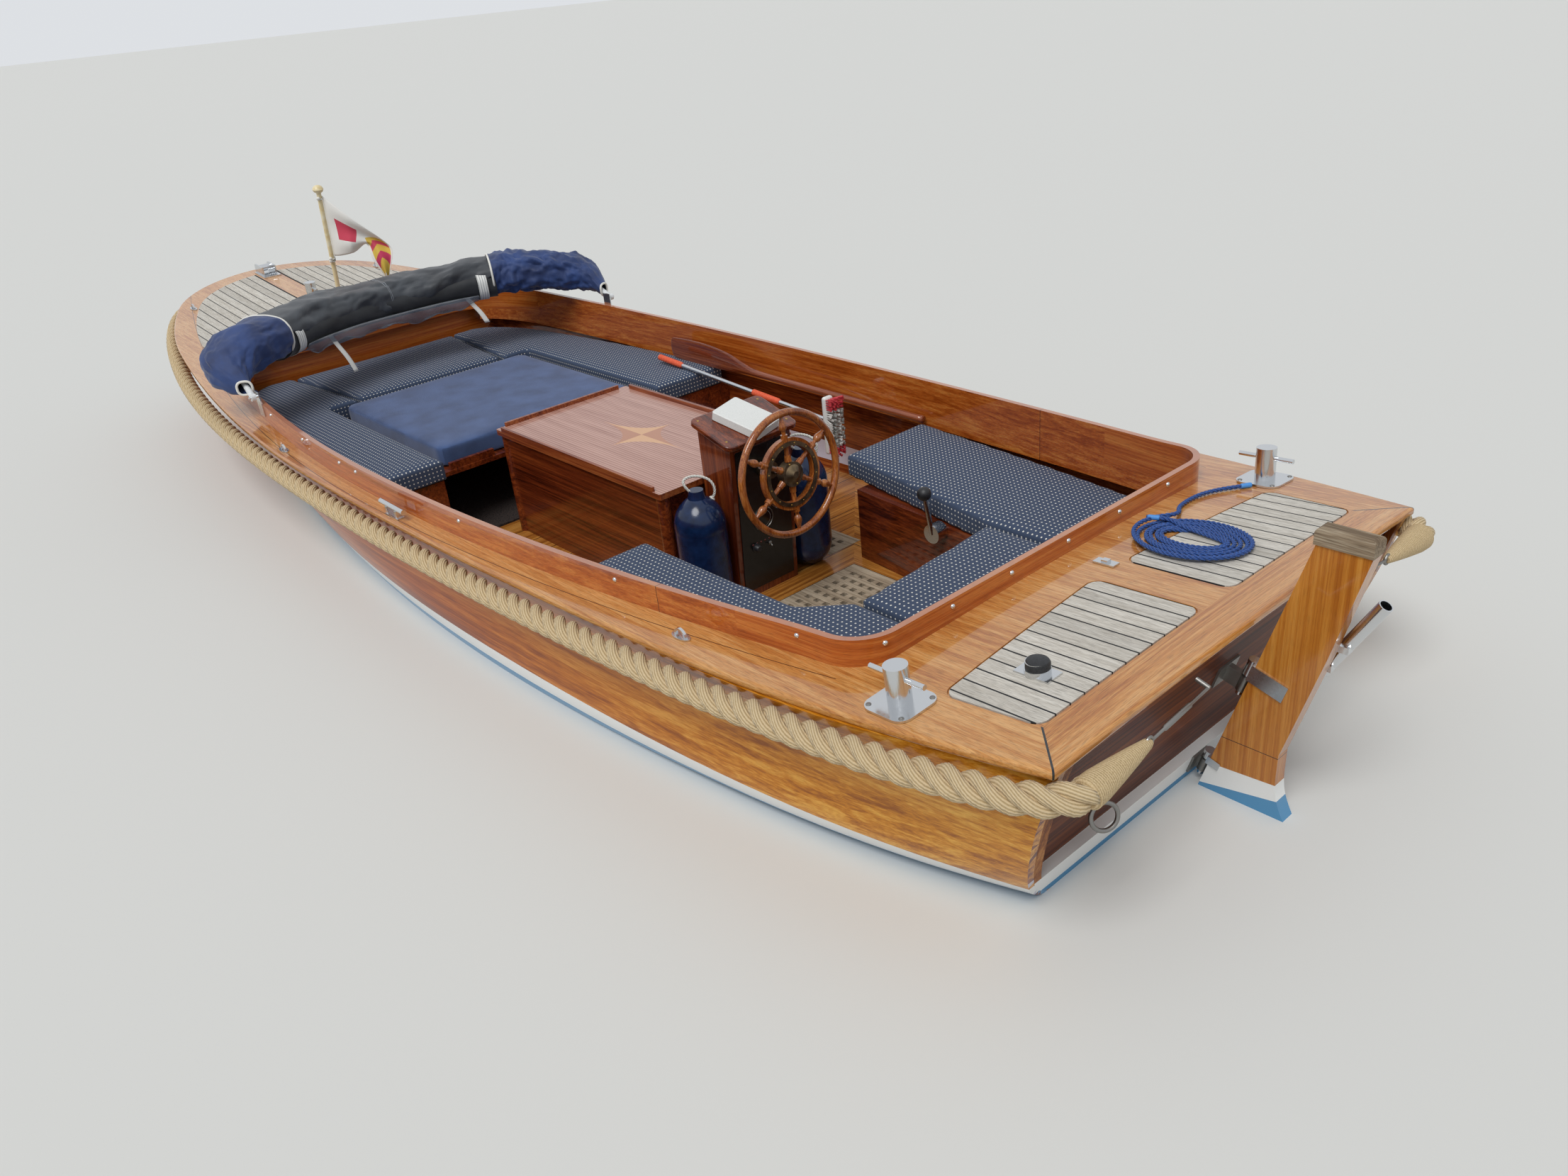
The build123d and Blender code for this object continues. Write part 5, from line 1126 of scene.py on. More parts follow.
# Hood's navy ends: acrylic canvas bunched round the bow, open at the roll and drawn in round
# the tube at the other end. White piping binds both edges.
navy_canvas = canvas("navy_canvas", NAVY_HEX, rough=0.65)
white_binding, tree, shader = new_material("white_binding", roughness=0.6)
shader.inputs["Base Color"].default_value = linear(PIPING_HEX)
at = add_node(tree, "TexCoord").outputs["Object"]
weave = add_node(tree, "TexNoise", {"Vector": at, "Scale": 600.0, "Detail": 2.0})
bump = add_node(tree, "Bump", {"Height": weave.outputs["Fac"], "Distance": 0.0005, "Strength": 0.5})
tree.links.new(bump.outputs[0], shader.inputs["Normal"])
WINGS = (
    # name, table, depth of the folds, folds along, seed
    ("port", PORT_WING, 0.20, 3.2, 21.0),
    ("starboard", STARBOARD_WING, 0.30, 7.5, 43.0),
)
for side, rows, depth, along, seed in WINGS:
    def wing_place(u, v, rows=rows, depth=depth, along=along, seed=seed):
        """Place on a navy end: u round it, v from the roll to the tube."""
        turn = 0.74 + u
        held = min(1, 5 * v + 0.15, 4 * (1 - v) + 0.1)
        fold = crease(v, turn, depth, along, 1.2, seed) * held
        lean = 0.10 * (1 - v) * max(0.0, math.sin(math.tau * (turn - 0.42)))
        return roll_point(rows, max(0.0, v - lean * 0.6), turn, 1.03, fold)

    wing, flat, area = cloth_sheet(f"hood_wing_{side}", 96, 80, wing_place, 0.002)
    finished(wing, f"hood_wing_{side}", "navy_fabric", navy_canvas, body="hood")
    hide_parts("hood")
    for edge, v in (("inner", 0.0), ("mouth", 1.0)):
        loop = [wing_place(k / 72, v) for k in range(72)]
        middle_point = sum(loop, Vector()) / len(loop)
        rings = []
        for k, place in enumerate(loop):
            way = (loop[(k + 1) % 72] - loop[k - 1]).normalized()
            out = (place - middle_point).normalized()
            over = way.cross(out).normalized()
            rings.append([place + (out * math.cos(math.tau * j / 8) + over * math.sin(math.tau * j / 8))
                          * 0.0055
                          for j in range(8)])
        piping = tube_object(f"hood_piping_{side}_{edge}", rings + [rings[0]], closed_ends=False)
        bpy.context.view_layer.objects.active = piping
        bpy.ops.object.mode_set(mode="EDIT")
        bpy.ops.mesh.select_all(action="SELECT")
        bpy.ops.mesh.remove_doubles(threshold=0.0001)
        bpy.ops.object.mode_set(mode="OBJECT")
        recalculate(piping)
        finished(piping, f"hood_piping_{side}_{edge}", "white_bunting", white_binding, body="hood")
        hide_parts("hood")

# Folded bow under the cover: dark canvas round the hood's tubes, banded in white at both ends, with the
# folded clear window hanging out along its underside. Its near-black colour is partly painted shade under the
# roll.
# Near-black: the canvas's own dark colour together with painted shade under the roll.
black_canvas_and_shade = canvas("black_canvas_and_shade", ("#0E1013", "#1C2026"), rough=0.6)
BUNDLE_DROP = 36
rings = []
for i in range(161):
    share = 0.225 + 0.485 * i / 160
    rings.append([roll_point(sections, share, k / 40, 0.86, crease(share, k / 40, 0.07, 16, 1.0, 5.0),
                             BUNDLE_DROP)
                  for k in range(40)])
bundle = tube_object("hood_bundle", rings)
recalculate(bundle)
finished(bundle, "hood_bundle", "charcoal_cover", black_canvas_and_shade, body="hood")
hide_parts("hood")
striped_band, tree, shader = new_material("striped_band", roughness=0.5)
lay = add_node(tree, "SeparateXYZ", {0: add_node(tree, "UVMap", uv_map="lay").outputs[0]})
stripe = add_node(tree, "Math", {0: lay.outputs["X"], 1: math.tau * 4}, operation="MULTIPLY")
stripe = add_node(tree, "Math", {0: stripe.outputs[0]}, operation="SINE")
colour = add_node(tree, "ValToRGB", {"Fac": stripe.outputs[0]}, stops=[(0.55, "#E4E4DF"), (0.9, "#8F9498")])
tree.links.new(colour.outputs[0], shader.inputs["Base Color"])
for side, start in (("port", 0.246), ("starboard", 0.672)):
    def band_place(u, v, start=start):
        """Place on a white band round the roll."""
        return roll_point(sections, start + 0.020 * u, v * 0.999, 0.915, 0.0, BUNDLE_DROP)

    band, flat, area = cloth_sheet(f"hood_band_{side}", 8, 48, band_place, 0.0015)
    finished(band, f"hood_band_{side}", "white_bunting", striped_band, body="hood")
    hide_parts("hood")
WINDOW_FROM, WINDOW_TO = 0.27, 0.67


def window_place(u, v):
    """Place on the folded window below the cover's edge."""
    share = WINDOW_FROM + (WINDOW_TO - WINDOW_FROM) * u
    ends = min(1, 9 * u, 9 * (1 - u))
    wave = noise.noise(Vector((share * 26, v * 1.5, 4)))
    turn = 0.56 + 0.15 * v
    place = roll_point(sections, share, turn, 0.96 + 0.10 * ends * math.sin(math.pi * v) * (1 + wave), 0.0,
                       34)
    place.z -= 0.034 * ends * v * (1 + 0.9 * wave)
    return place


clear_vinyl, tree, shader = new_material("clear_vinyl", roughness=0.12, ior=1.53)
shader.inputs["Base Color"].default_value = linear("#B9C0C8")
shader.inputs["Transmission Weight"].default_value = 0.75
at = add_node(tree, "TexCoord").outputs["Object"]
ripple = add_node(tree, "TexNoise", {"Vector": at, "Scale": 18.0, "Detail": 2.0})
bump = add_node(tree, "Bump", {"Height": ripple.outputs["Fac"], "Distance": 0.01, "Strength": 0.5})
tree.links.new(bump.outputs[0], shader.inputs["Normal"])
window, flat, area = cloth_sheet("hood_window", 120, 14, window_place, 0.001)
finished(window, "hood_window", "charcoal_cover", clear_vinyl, body="hood")
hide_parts("hood")

# Hood's straps: white webbing, 26 mm wide, sewn under the cover and hanging loose.
STRAPS = (
    # name, share along the roll, drop of the loose end
    ("port", 0.33, 0.205),
    ("starboard", 0.645, 0.150),
)
for side, share, drop in STRAPS:
    start = roll_point(sections, share, 0.55, 1.02)
    edge = roll_point(sections, share, 0.62, 1.06)
    fore_aft = Vector((-0.62, -0.78, 0)) * 0.055
    line = smooth_line([start, edge, edge + fore_aft * 0.5 + Vector((0, 0, -0.3 * drop)),
                        edge + fore_aft * 1.3 + Vector((0, 0, -0.7 * drop)),
                        edge + fore_aft * 1.6 + Vector((0, 0, -drop))])
    line, strap_long = even_line(line, 0.012)
    wide_way = (roll_point(sections, share + 0.01, 0.67) - roll_point(sections, share - 0.01,
                                                                      0.67)).normalized()

    def strap_place(u, v, line=line, wide_way=wide_way):
        """Place on a strap: u across it, v along it."""
        return line[round(v * (len(line) - 1))] + wide_way * 0.026 * (u - 0.5)

    strap, flat, area = cloth_sheet(f"hood_strap_{side}", 4, len(line) - 1, strap_place, 0.0018)
    finished(strap, f"hood_strap_{side}", "white_bunting", white_binding, body="hood")
    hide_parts("hood")
white_tube, tree, shader = new_material("white_tube", roughness=0.3)
at = add_node(tree, "TexCoord").outputs["Object"]
dust = add_node(tree, "TexNoise", {"Vector": at, "Scale": 60.0, "Detail": 4.0})
colour = add_node(tree, "ValToRGB", {"Fac": dust.outputs["Fac"]}, stops=[(0.3, "#CFD2D4"), (0.7, "#E8EAEA")])
tree.links.new(colour.outputs[0], shader.inputs["Base Color"])
dress(white_tube, "hood_legs")


# Flagstaff: a turned ash staff in cream paint, with a ball for a truck. Thin white line lashes
# the pennant's hoist to it at its head and below its foot.
STAFF_FOOT = Vector((2.192, 0, 0.569))
STAFF_TOP = Vector((2.090, 0, 1.232))
STAFF_R = 0.012
staff_down = (STAFF_FOOT - STAFF_TOP).normalized()
cream_paint, tree, shader = new_material("cream_paint", roughness=0.35)
at = add_node(tree, "TexCoord").outputs["Object"]
wear = add_node(tree, "TexNoise", {"Vector": at, "Scale": 35.0, "Detail": 6.0})
colour = add_node(tree, "ValToRGB", {"Fac": wear.outputs["Fac"]},
                  stops=[(0.30, "#DCC48E"), (0.5, "#E6D5A8"), (0.7, "#EDE2C2")])
tree.links.new(colour.outputs[0], shader.inputs["Base Color"])
dress(cream_paint, "flagstaff")


def settle(piece):
    """Puts a new piece's place, turn and size into its mesh, and leaves nothing selected."""
    bpy.ops.object.select_all(action="DESELECT")
    piece.select_set(True)
    bpy.context.view_layer.objects.active = piece
    bpy.ops.object.transform_apply(location=True, rotation=True, scale=True)
    bpy.ops.object.select_all(action="DESELECT")
    return piece


def turned_piece(name, start, way, steps, sides=24):
    """Round piece: a disc is added at its start and extruded through (distance, radius) steps."""
    start, way = Vector(start), Vector(way).normalized()
    bpy.ops.object.select_all(action="DESELECT")
    bpy.ops.mesh.primitive_circle_add(vertices=sides, radius=steps[0][1], fill_type="NGON",
                                      location=start + way * steps[0][0],
                                      rotation=way.to_track_quat("Z", "Y").to_euler())
    piece = settle(bpy.context.object)
    piece.select_set(True)
    bpy.context.view_layer.objects.active = piece
    bpy.ops.object.mode_set(mode="EDIT")
    bpy.ops.mesh.select_all(action="SELECT")
    for (near, narrow), (far, wide) in zip(steps, steps[1:]):
        bpy.ops.mesh.extrude_region_move(TRANSFORM_OT_translate={"value": way * (far - near)})
        bpy.ops.transform.resize(value=(wide / narrow,) * 3, center_override=start + way * far)
    bpy.ops.mesh.select_all(action="SELECT")
    bpy.ops.mesh.normals_make_consistent(inside=False)
    bpy.ops.object.mode_set(mode="OBJECT")
    bpy.ops.object.shade_smooth_by_angle(angle=math.radians(38))
    bpy.ops.object.select_all(action="DESELECT")
    piece.name = name
    return piece


def joined(pieces):
    """One piece of several."""
    bpy.ops.object.select_all(action="DESELECT")
    for piece in pieces:
        piece.select_set(True)
    bpy.context.view_layer.objects.active = pieces[0]
    bpy.ops.object.join()
    bpy.ops.object.select_all(action="DESELECT")
    return pieces[0]


def domed(radius, high, steps=5):
    """Steps of a dome that stands on a surface."""
    return [(-0.0004, radius)] + [(high * math.sin(a), radius * math.cos(a)) for a in
                                  (math.pi / 2 * k / steps for k in range(1, steps))] + [(high,
                                                                                          radius * 0.12)]


BALL = [(-0.021, 0.004), (-0.019, 0.013), (-0.012, 0.023), (0.0, 0.0285), (0.012, 0.023), (0.019, 0.013),
        (0.021, 0.004)]
truck = turned_piece("staff_truck", STAFF_TOP - staff_down * 0.006, -staff_down, BALL)
finished(truck, "staff_truck", "white_bunting", cream_paint)
white_line = yarn("white_line", ("#B9B7AE", "#DDDBD2", "#F0EFE8"), 3, 0.01, rough=0.8, fuzz=1200.0)
knots = []
for reach in (0.040, 0.362, 0.374):
    centre = STAFF_TOP + staff_down * reach
    side = staff_down.orthogonal().normalized()
    over = staff_down.cross(side)
    ring_line = [centre + (side * math.cos(a) + over * math.sin(a)) * (STAFF_R + 0.003) + staff_down * 0.004
                 * math.sin(2 * a)
                 for a in (math.tau * k / 32 for k in range(33))]
    knot, _, _ = laid_rope("staff_knot", ring_line, 0.0042, 0.022, sides=6, rounds=8)
    knots.append(knot)
    knots.append(turned_piece("knot", centre + Vector((-0.010, 0.012, 0)), (-0.6, 0.7, 0.1),
                              domed(0.010, 0.011), 12))
lashings = joined(knots)
recalculate(lashings)
finished(lashings, "staff_lashings", "white_bunting", white_line)

# Pennant: light nylon bunting, hung limp. A plain red patch and gold and red chevrons are
# printed on white; the hoist is sewn over a cord.
HOIST = 0.320
HOIST_DROP = 0.030
PENNANT_SIDE = Vector((-0.627, -0.779, 0))
PENNANT_TOP = ((0.0, 0.0), (0.135, 0.130), (0.262, 0.262), (0.292, 0.330), (0.243, 0.455))
PENNANT_LOW = ((0.048, 0.318), (0.100, 0.300), (0.160, 0.272), (0.186, 0.352), (0.236, 0.458))
hoist_top = STAFF_TOP + staff_down * HOIST_DROP


def pennant_place(u, v):
    """Place on the pennant: u across its hoist, v along its fly."""
    top = between(PENNANT_TOP, v)
    low = between(PENNANT_LOW, v)
    side, drop = (a + (b - a) * u for a, b in zip(top, low))
    start = hoist_top + staff_down * HOIST * u
    place = hoist_top + PENNANT_SIDE * side + Vector((0, 0, -drop))
    ease = min(1, v * 5)
    place = start.lerp(place, ease) if ease < 1 else place
    ahead_way = Vector((PENNANT_SIDE.y, -PENNANT_SIDE.x, 0))
    wave = 0.020 * math.sin(v * 8.2 + u * 1.3) * ease + 0.010 * math.sin(u * 9 + v * 4) * ease
    return place + ahead_way * wave + PENNANT_SIDE * (STAFF_R + 0.003)


pennant, flat, area = cloth_sheet("pennant_bunting", 30, 70, pennant_place, 0.0012)
bunting, tree, shader = new_material("bunting", roughness=0.7)
lay = add_node(tree, "SeparateXYZ", {0: add_node(tree, "UVMap", uv_map="lay").outputs[0]})
aside = add_node(tree, "Math", {0: lay.outputs["X"], 1: 0.5}, operation="SUBTRACT")
aside = add_node(tree, "Math", {0: aside.outputs[0]}, operation="ABSOLUTE")
chevron = add_node(tree, "Math", {0: aside.outputs[0], 1: -0.30, 2: lay.outputs["Y"]},
                   operation="MULTIPLY_ADD")
colour = banded(tree, chevron.outputs[0], ((0.36, 0.44), (0.44, 0.53), (0.53, 0.65), (0.65, 0.75),
                                           (0.75, 0.9)),
                ("#D9B64A", "#C9415A", "#D9B64A", "#C2365A", "#D9B64A"), linear("#ECEAE4"))
border = add_node(tree, "Math", {0: aside.outputs[0], 1: 0.40}, operation="GREATER_THAN")
colour = add_node(tree, "Mix", {0: border.outputs[0], 6: colour, 7: linear("#ECEAE4")},
                  data_type="RGBA").outputs[2]
patch_u = add_node(tree, "Math", {0: aside.outputs[0], 1: 0.2}, operation="LESS_THAN")
patch = banded(tree, lay.outputs["Y"], ((0.12, 0.27),), ("#D2455C",), colour)
colour = add_node(tree, "Mix", {0: patch_u.outputs[0], 6: colour, 7: patch}, data_type="RGBA").outputs[2]
at = add_node(tree, "TexCoord").outputs["Object"]
threads = add_node(tree, "TexNoise", {"Vector": at, "Scale": 500.0, "Detail": 2.0})
bump = add_node(tree, "Bump", {"Height": threads.outputs["Fac"], "Distance": 0.0004, "Strength": 0.4})
tree.links.new(colour, shader.inputs["Base Color"])
tree.links.new(bump.outputs[0], shader.inputs["Normal"])
finished(pennant, "pennant_bunting", "white_bunting", bunting)
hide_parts("pennant")

# Paddle: one piece of mahogany, a round loom that swells and flattens into its blade.
PADDLE_Y, PADDLE_Z = -0.880, 0.404
PADDLE = (
    # x, z of the middle, half height, half thickness
    (-1.345, 0.3903, 0.0150, 0.0150),
    (-0.80, 0.3970, 0.0150, 0.0150),
    (-0.36, 0.4030, 0.0155, 0.0150),
    (-0.24, 0.4110, 0.0240, 0.0130),
    (-0.12, 0.4240, 0.0440, 0.0095),
    (0.04, 0.4310, 0.0555, 0.0072),
    (0.20, 0.4310, 0.0560, 0.0062),
    (0.30, 0.4310, 0.0500, 0.0055),
    (0.322, 0.4310, 0.0400, 0.0045),
    (0.330, 0.4310, 0.0200, 0.0025),
)
rings = []
for i in range(91):
    x, z, high, thick = between(PADDLE, i / 90)
    rings.append([Vector((x, PADDLE_Y + math.cos(a) * max(thick, 0.001), z + math.sin(a) * high))
                  for a in (math.tau * k / 24 for k in range(24))])
paddle = tube_object("paddle_loom", rings)
recalculate(paddle)
paddle_varnish = timber("paddle_varnish", ("#6A2A14", "#8A4526", "#A45C38"), "X", 0.012, 0.5)
finished(paddle, "paddle_loom", "varnished_mahogany", paddle_varnish)
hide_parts("paddle")

# Deck brush: an aluminium tube with two orange rubber grips, in a white moulded back that holds
# tufts of red, white and grey bristle.
BRUSH_TIP = Vector((0.300, -0.780, 0.410))
BRUSH_HEAD = Vector((-0.870, -0.800, 0.3145))
GRIPS = ((0.0, 0.180), (0.690, 0.870))
brush_way = (BRUSH_HEAD - BRUSH_TIP).normalized()
brush_long = (BRUSH_HEAD - BRUSH_TIP).length
brushed_alloy, tree, shader = new_material("brushed_alloy", metallic=1.0, roughness=0.32)
shader.inputs["Base Color"].default_value = linear("#D3D6DA")
at = add_node(tree, "TexCoord").outputs["Object"]
drawn = add_node(tree, "Mapping", {"Vector": at, "Scale": (6.0, 900.0, 900.0)})
lines = add_node(tree, "TexNoise", {"Vector": drawn.outputs[0], "Scale": 1.0, "Detail": 2.0})
rough = add_node(tree, "MapRange", {"Value": lines.outputs["Fac"], "To Min": 0.22, "To Max": 0.42})
tree.links.new(rough.outputs[0], shader.inputs["Roughness"])
pole = turned_piece("brush_pole", BRUSH_TIP, brush_way, [(0.004, 0.0098), (brush_long - 0.02, 0.0098)], 20)
finished(pole, "brush_pole", "steel", brushed_alloy)
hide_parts("brush")
orange_rubber, tree, shader = new_material("orange_rubber", roughness=0.6)
at = add_node(tree, "TexCoord").outputs["Object"]
dust = add_node(tree, "TexNoise", {"Vector": at, "Scale": 120.0, "Detail": 4.0})
colour = add_node(tree, "ValToRGB", {"Fac": dust.outputs["Fac"]}, stops=[(0.3, "#D8512E"), (0.7, "#EE6B45")])
tree.links.new(colour.outputs[0], shader.inputs["Base Color"])
grips = []
for near, far in GRIPS:
    steps = [(near, 0.0105), (near + 0.004, 0.0145), (far - 0.012, 0.0145), (far, 0.0112)]
    grips.append(turned_piece("grip", BRUSH_TIP, brush_way, steps, 24))
grips = joined(grips)
finished(grips, "brush_grips", "white_plastic", orange_rubber)
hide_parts("brush")
HEAD_MIDDLE = Vector((-0.884, -0.790, 0.300))
HEAD_LONG = 0.255
bpy.ops.mesh.primitive_cube_add(size=1, location=HEAD_MIDDLE)
back = bpy.context.object
back.scale = (0.026, 0.052, HEAD_LONG)
settle(back)
back.select_set(True)
bpy.context.view_layer.objects.active = back
soft = back.modifiers.new("edges", "BEVEL")
soft.width = 0.011
soft.segments = 4
apply_all(back)
bpy.ops.object.shade_smooth_by_angle(angle=math.radians(40))
bpy.ops.object.select_all(action="DESELECT")
finished(back, "brush_back", "white_plastic", white_abs)
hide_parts("brush")
TUFT_ROWS, TUFT_COUNT = 4, 24
TUFT_CODES = ("#D7404A", "#EFEDE8", "#B9BBB6")
tufts = {code: [] for code in TUFT_CODES}
for row in range(TUFT_ROWS):
    for k in range(TUFT_COUNT):
        share = (k + 0.5) / TUFT_COUNT
        foot = HEAD_MIDDLE + Vector((-0.011, -0.018 + 0.012 * row, HEAD_LONG * (share - 0.5) * 0.94))
        splay = Vector((-1, 0.24 * row - 0.40 + 0.3 * noise.noise(foot * 90),
                        0.6 * (share - 0.5) + 0.3 * noise.noise(foot * 70)))
        code = TUFT_CODES[0] if share < 0.16 or share > 0.8 else (TUFT_CODES[1] if row % 2 else TUFT_CODES[2])
        steps = [(0, 0.0026), (0.026, 0.0038), (0.048 + 0.006 * noise.noise(foot * 51), 0.0060)]
        tufts[code].append(turned_piece("tuft", foot, splay, steps, 6))
for number, (code, made) in enumerate(tufts.items()):
    bristle, tree, shader = new_material(f"bristle_{number}", roughness=0.55)
    at = add_node(tree, "TexCoord").outputs["Object"]
    hair = add_node(tree, "Mapping", {"Vector": at, "Scale": (900.0, 900.0, 60.0)})
    hair = add_node(tree, "TexNoise", {"Vector": hair.outputs[0], "Scale": 1.0, "Detail": 2.0})
    shade = add_node(tree, "MapRange", {"Value": hair.outputs["Fac"], "To Min": 0.55, "To Max": 1.1})
    colour = add_node(tree, "Mix", {0: 1.0, 6: linear(code), 7: shade.outputs[0]}, data_type="RGBA",
                      blend_type="MULTIPLY")
    tree.links.new(colour.outputs[2], shader.inputs["Base Color"])
    tuft = joined(made)
    finished(tuft, f"brush_tufts_{number}", "white_plastic", bristle)
    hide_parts("brush")

# Ends of the rope fender: the strands taper under a tight whipping of twine to a thimble, and a
# bottle screw draws each end to an eye under the deck.
twine, tree, shader = new_material("twine", roughness=0.95)
at = add_node(tree, "TexCoord").outputs["Object"]
beam = add_node(tree, "SeparateXYZ", {0: at}).outputs["Y"]
turn = add_node(tree, "Math", {0: beam, 1: math.tau / 0.0060}, operation="MULTIPLY")
turn = add_node(tree, "Math", {0: turn.outputs[0]}, operation="SINE")
fuzz = add_node(tree, "TexNoise", {"Vector": at, "Scale": 300.0, "Detail": 3.0})
tone = add_node(tree, "Math", {0: turn.outputs[0], 1: 0.2, 2: fuzz.outputs["Fac"]}, operation="MULTIPLY_ADD")
# The colour follows the turns' height: painted highlight on each turn of twine, painted shade between the
# turns.
colour = add_node(tree, "ValToRGB", {"Fac": tone.outputs[0]},
                  stops=[(0.25, FENDER_HEX[0]), (0.55, FENDER_HEX[1]), (0.85, FENDER_HEX[2])])
bump = add_node(tree, "Bump", {"Height": tone.outputs[0], "Distance": 0.0014, "Strength": 0.7})
tree.links.new(colour.outputs[0], shader.inputs["Base Color"])
tree.links.new(bump.outputs[0], shader.inputs["Normal"])
ROPE_START = port_side[0]
for side, sign in (("port", 1), ("starboard", -1)):
    start = Vector((ROPE_START.x, sign * ROPE_START.y, ROPE_START.z))
    tip = Vector((-3.312, sign * 0.548, 0.498))
    way = tip - start
    long = way.length
    steps = [(-0.012, 0.030), (-0.004, 0.0385), (0.03, 0.0375), (0.09, 0.030), (0.15, 0.0215),
             (long - 0.01, 0.013), (long, 0.009)]
    whipping = turned_piece("whipping", start, way, steps, 32)
    finished(whipping, f"rope_whipping_{side}", "rope", twine)
    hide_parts("rope_ends")
    eye = Vector((-3.300, sign * 0.300, 0.508))
    rod_way = eye - tip
    rod = [(0, 0.004), (0.055, 0.004), (0.06, 0.0068), (0.165, 0.0068), (0.17, 0.004),
           (rod_way.length, 0.004)]
    screw = [turned_piece("rod", tip, rod_way, rod, 16),
             turned_piece("hook", eye - Vector((0.003, 0, 0)), Vector((0.038, 0, 0.012)),
                          [(0, 0.006), (0.036, 0.006)], 16)]
    bpy.ops.mesh.primitive_torus_add(major_radius=0.013, minor_radius=0.004, major_segments=24,
                                     minor_segments=8,
                                     location=tip + rod_way.normalized() * -0.004,
                                     rotation=(0, math.pi / 2, 0))
    screw.append(settle(bpy.context.object))
    bottle_screw = joined(screw)
    finished(bottle_screw, f"bottle_screw_{side}", "steel", worn_steel)
    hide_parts("rope_ends")

# Coaming studs: small chromed studs for the boat's cover, pressed into the coaming's outer face.
STUD_HIGH = 0.036
STUDS_PORT = (0.798, 0.375, -0.020, -0.172, -0.950, -1.774, -2.457)
STUDS_AFT = (0.690, 0.450, 0.215, -0.030, -0.270, -0.515)
studs = []
for x in STUDS_PORT:
    for sign in (1, -1):
        z = sheer(x * 1000, 0) / 1000 + STUD_HIGH
        names = ("coaming_port", "coaming_starboard") if x > -2.25 else ("coaming_aft",) * 2
        coaming = nodes[names[0] if sign > 0 else names[1]]
        found, place, out, _ = coaming.ray_cast(Vector((x, sign * 1.5, z)), Vector((0, -sign, 0)))
        if found:
            studs.append(turned_piece("stud", place, out, domed(0.0075, 0.0055), 14))
for y in STUDS_AFT:
    z = sheer(-2672, 0) / 1000 + STUD_HIGH
    found, place, out, _ = nodes["coaming_aft"].ray_cast(Vector((-3.2, y, z)), Vector((1, 0, 0)))
    if found:
        studs.append(turned_piece("stud", place, out, domed(0.0075, 0.0055), 14))
studs = joined(studs)
finished(studs, "cover_studs", "steel", polished_steel)

# Screws in the bollards' bases and in the console's top.
BOLLARD_FEET = ((-2.824, 0.806), (-2.824, -0.806), (2.600, 0.0))
screws = []
for x, y in BOLLARD_FEET:
    for dx in (-0.052, 0.052):
        for dy in (-0.052, 0.052):
            _, place, out, _ = nodes["bollards"].ray_cast(Vector((x + dx, y + dy, 0.9)), Vector((0, 0, -1)))
            screws.append(turned_piece("screw", place, out, domed(0.0075, 0.003, 3), 12))
screws = joined(screws)
finished(screws, "bollard_screws", "steel", worn_steel)
brass, tree, shader = new_material("brass", metallic=1.0, roughness=0.3)
at = add_node(tree, "TexCoord").outputs["Object"]
tarnish = add_node(tree, "TexNoise", {"Vector": at, "Scale": 300.0, "Detail": 3.0})
colour = add_node(tree, "ValToRGB", {"Fac": tarnish.outputs["Fac"]},
                  stops=[(0.3, "#A8823C"), (0.7, "#D8B769")])
tree.links.new(colour.outputs[0], shader.inputs["Base Color"])
screws = []
for x in (-1.236, -1.386):
    for y in (-0.137, 0.137):
        _, place, out, _ = nodes["console_top"].ray_cast(Vector((x, y, 1.0)), Vector((0, 0, -1)))
        screws.append(turned_piece("screw", place, out, domed(0.0045, 0.0012, 3), 12))
console_screws = joined(screws)
finished(console_screws, "console_screws", "bronze", brass)
screws = []
wheel_out = Vector((-math.cos(math.radians(6)), 0, math.sin(math.radians(6))))
wheel_up = Vector((math.sin(math.radians(6)), 0, math.cos(math.radians(6))))
WHEEL_MIDDLE = Vector((-1.543, 0, 0.504))
for k in range(12):
    a = math.tau * (k + 0.5) / 12
    place = WHEEL_MIDDLE + (Vector((0, 1, 0)) * math.cos(a) + wheel_up
                            * math.sin(a)) * 0.1068 + wheel_out * 0.01525
    screws.append(turned_piece("screw", place, wheel_out, domed(0.0032, 0.0012, 3), 10))
for a in (math.radians(75), math.radians(255)):
    place = WHEEL_MIDDLE + (Vector((0, 1, 0)) * math.cos(a) + wheel_up
                            * math.sin(a)) * 0.038 + wheel_out * 0.017
    screws.append(turned_piece("screw", place, wheel_out, domed(0.004, 0.002, 3), 10))
wheel_screws = joined(screws)
finished(wheel_screws, "wheel_screws", "bronze", brass, body="wheel")

# Instruments: a round gauge, five small lamps, a ribbed knob and two toggle switches, set in the
# black panel. No lettering.
panel_lean = math.atan2(0.604, 0.034)
PANEL_OUT = Vector((-math.sin(panel_lean), 0, -math.cos(panel_lean)))


def on_panel(y, z):
    """Place on the instrument panel's face."""
    _, place, out, _ = nodes["instrument_panel"].ray_cast(Vector((-2.0, y, z)), Vector((1, 0, 0)))
    return place


def panel_round(name, y, z, steps, sides=32):
    """Round piece that stands out of the panel."""
    return turned_piece(name, on_panel(y, z), PANEL_OUT, steps, sides)


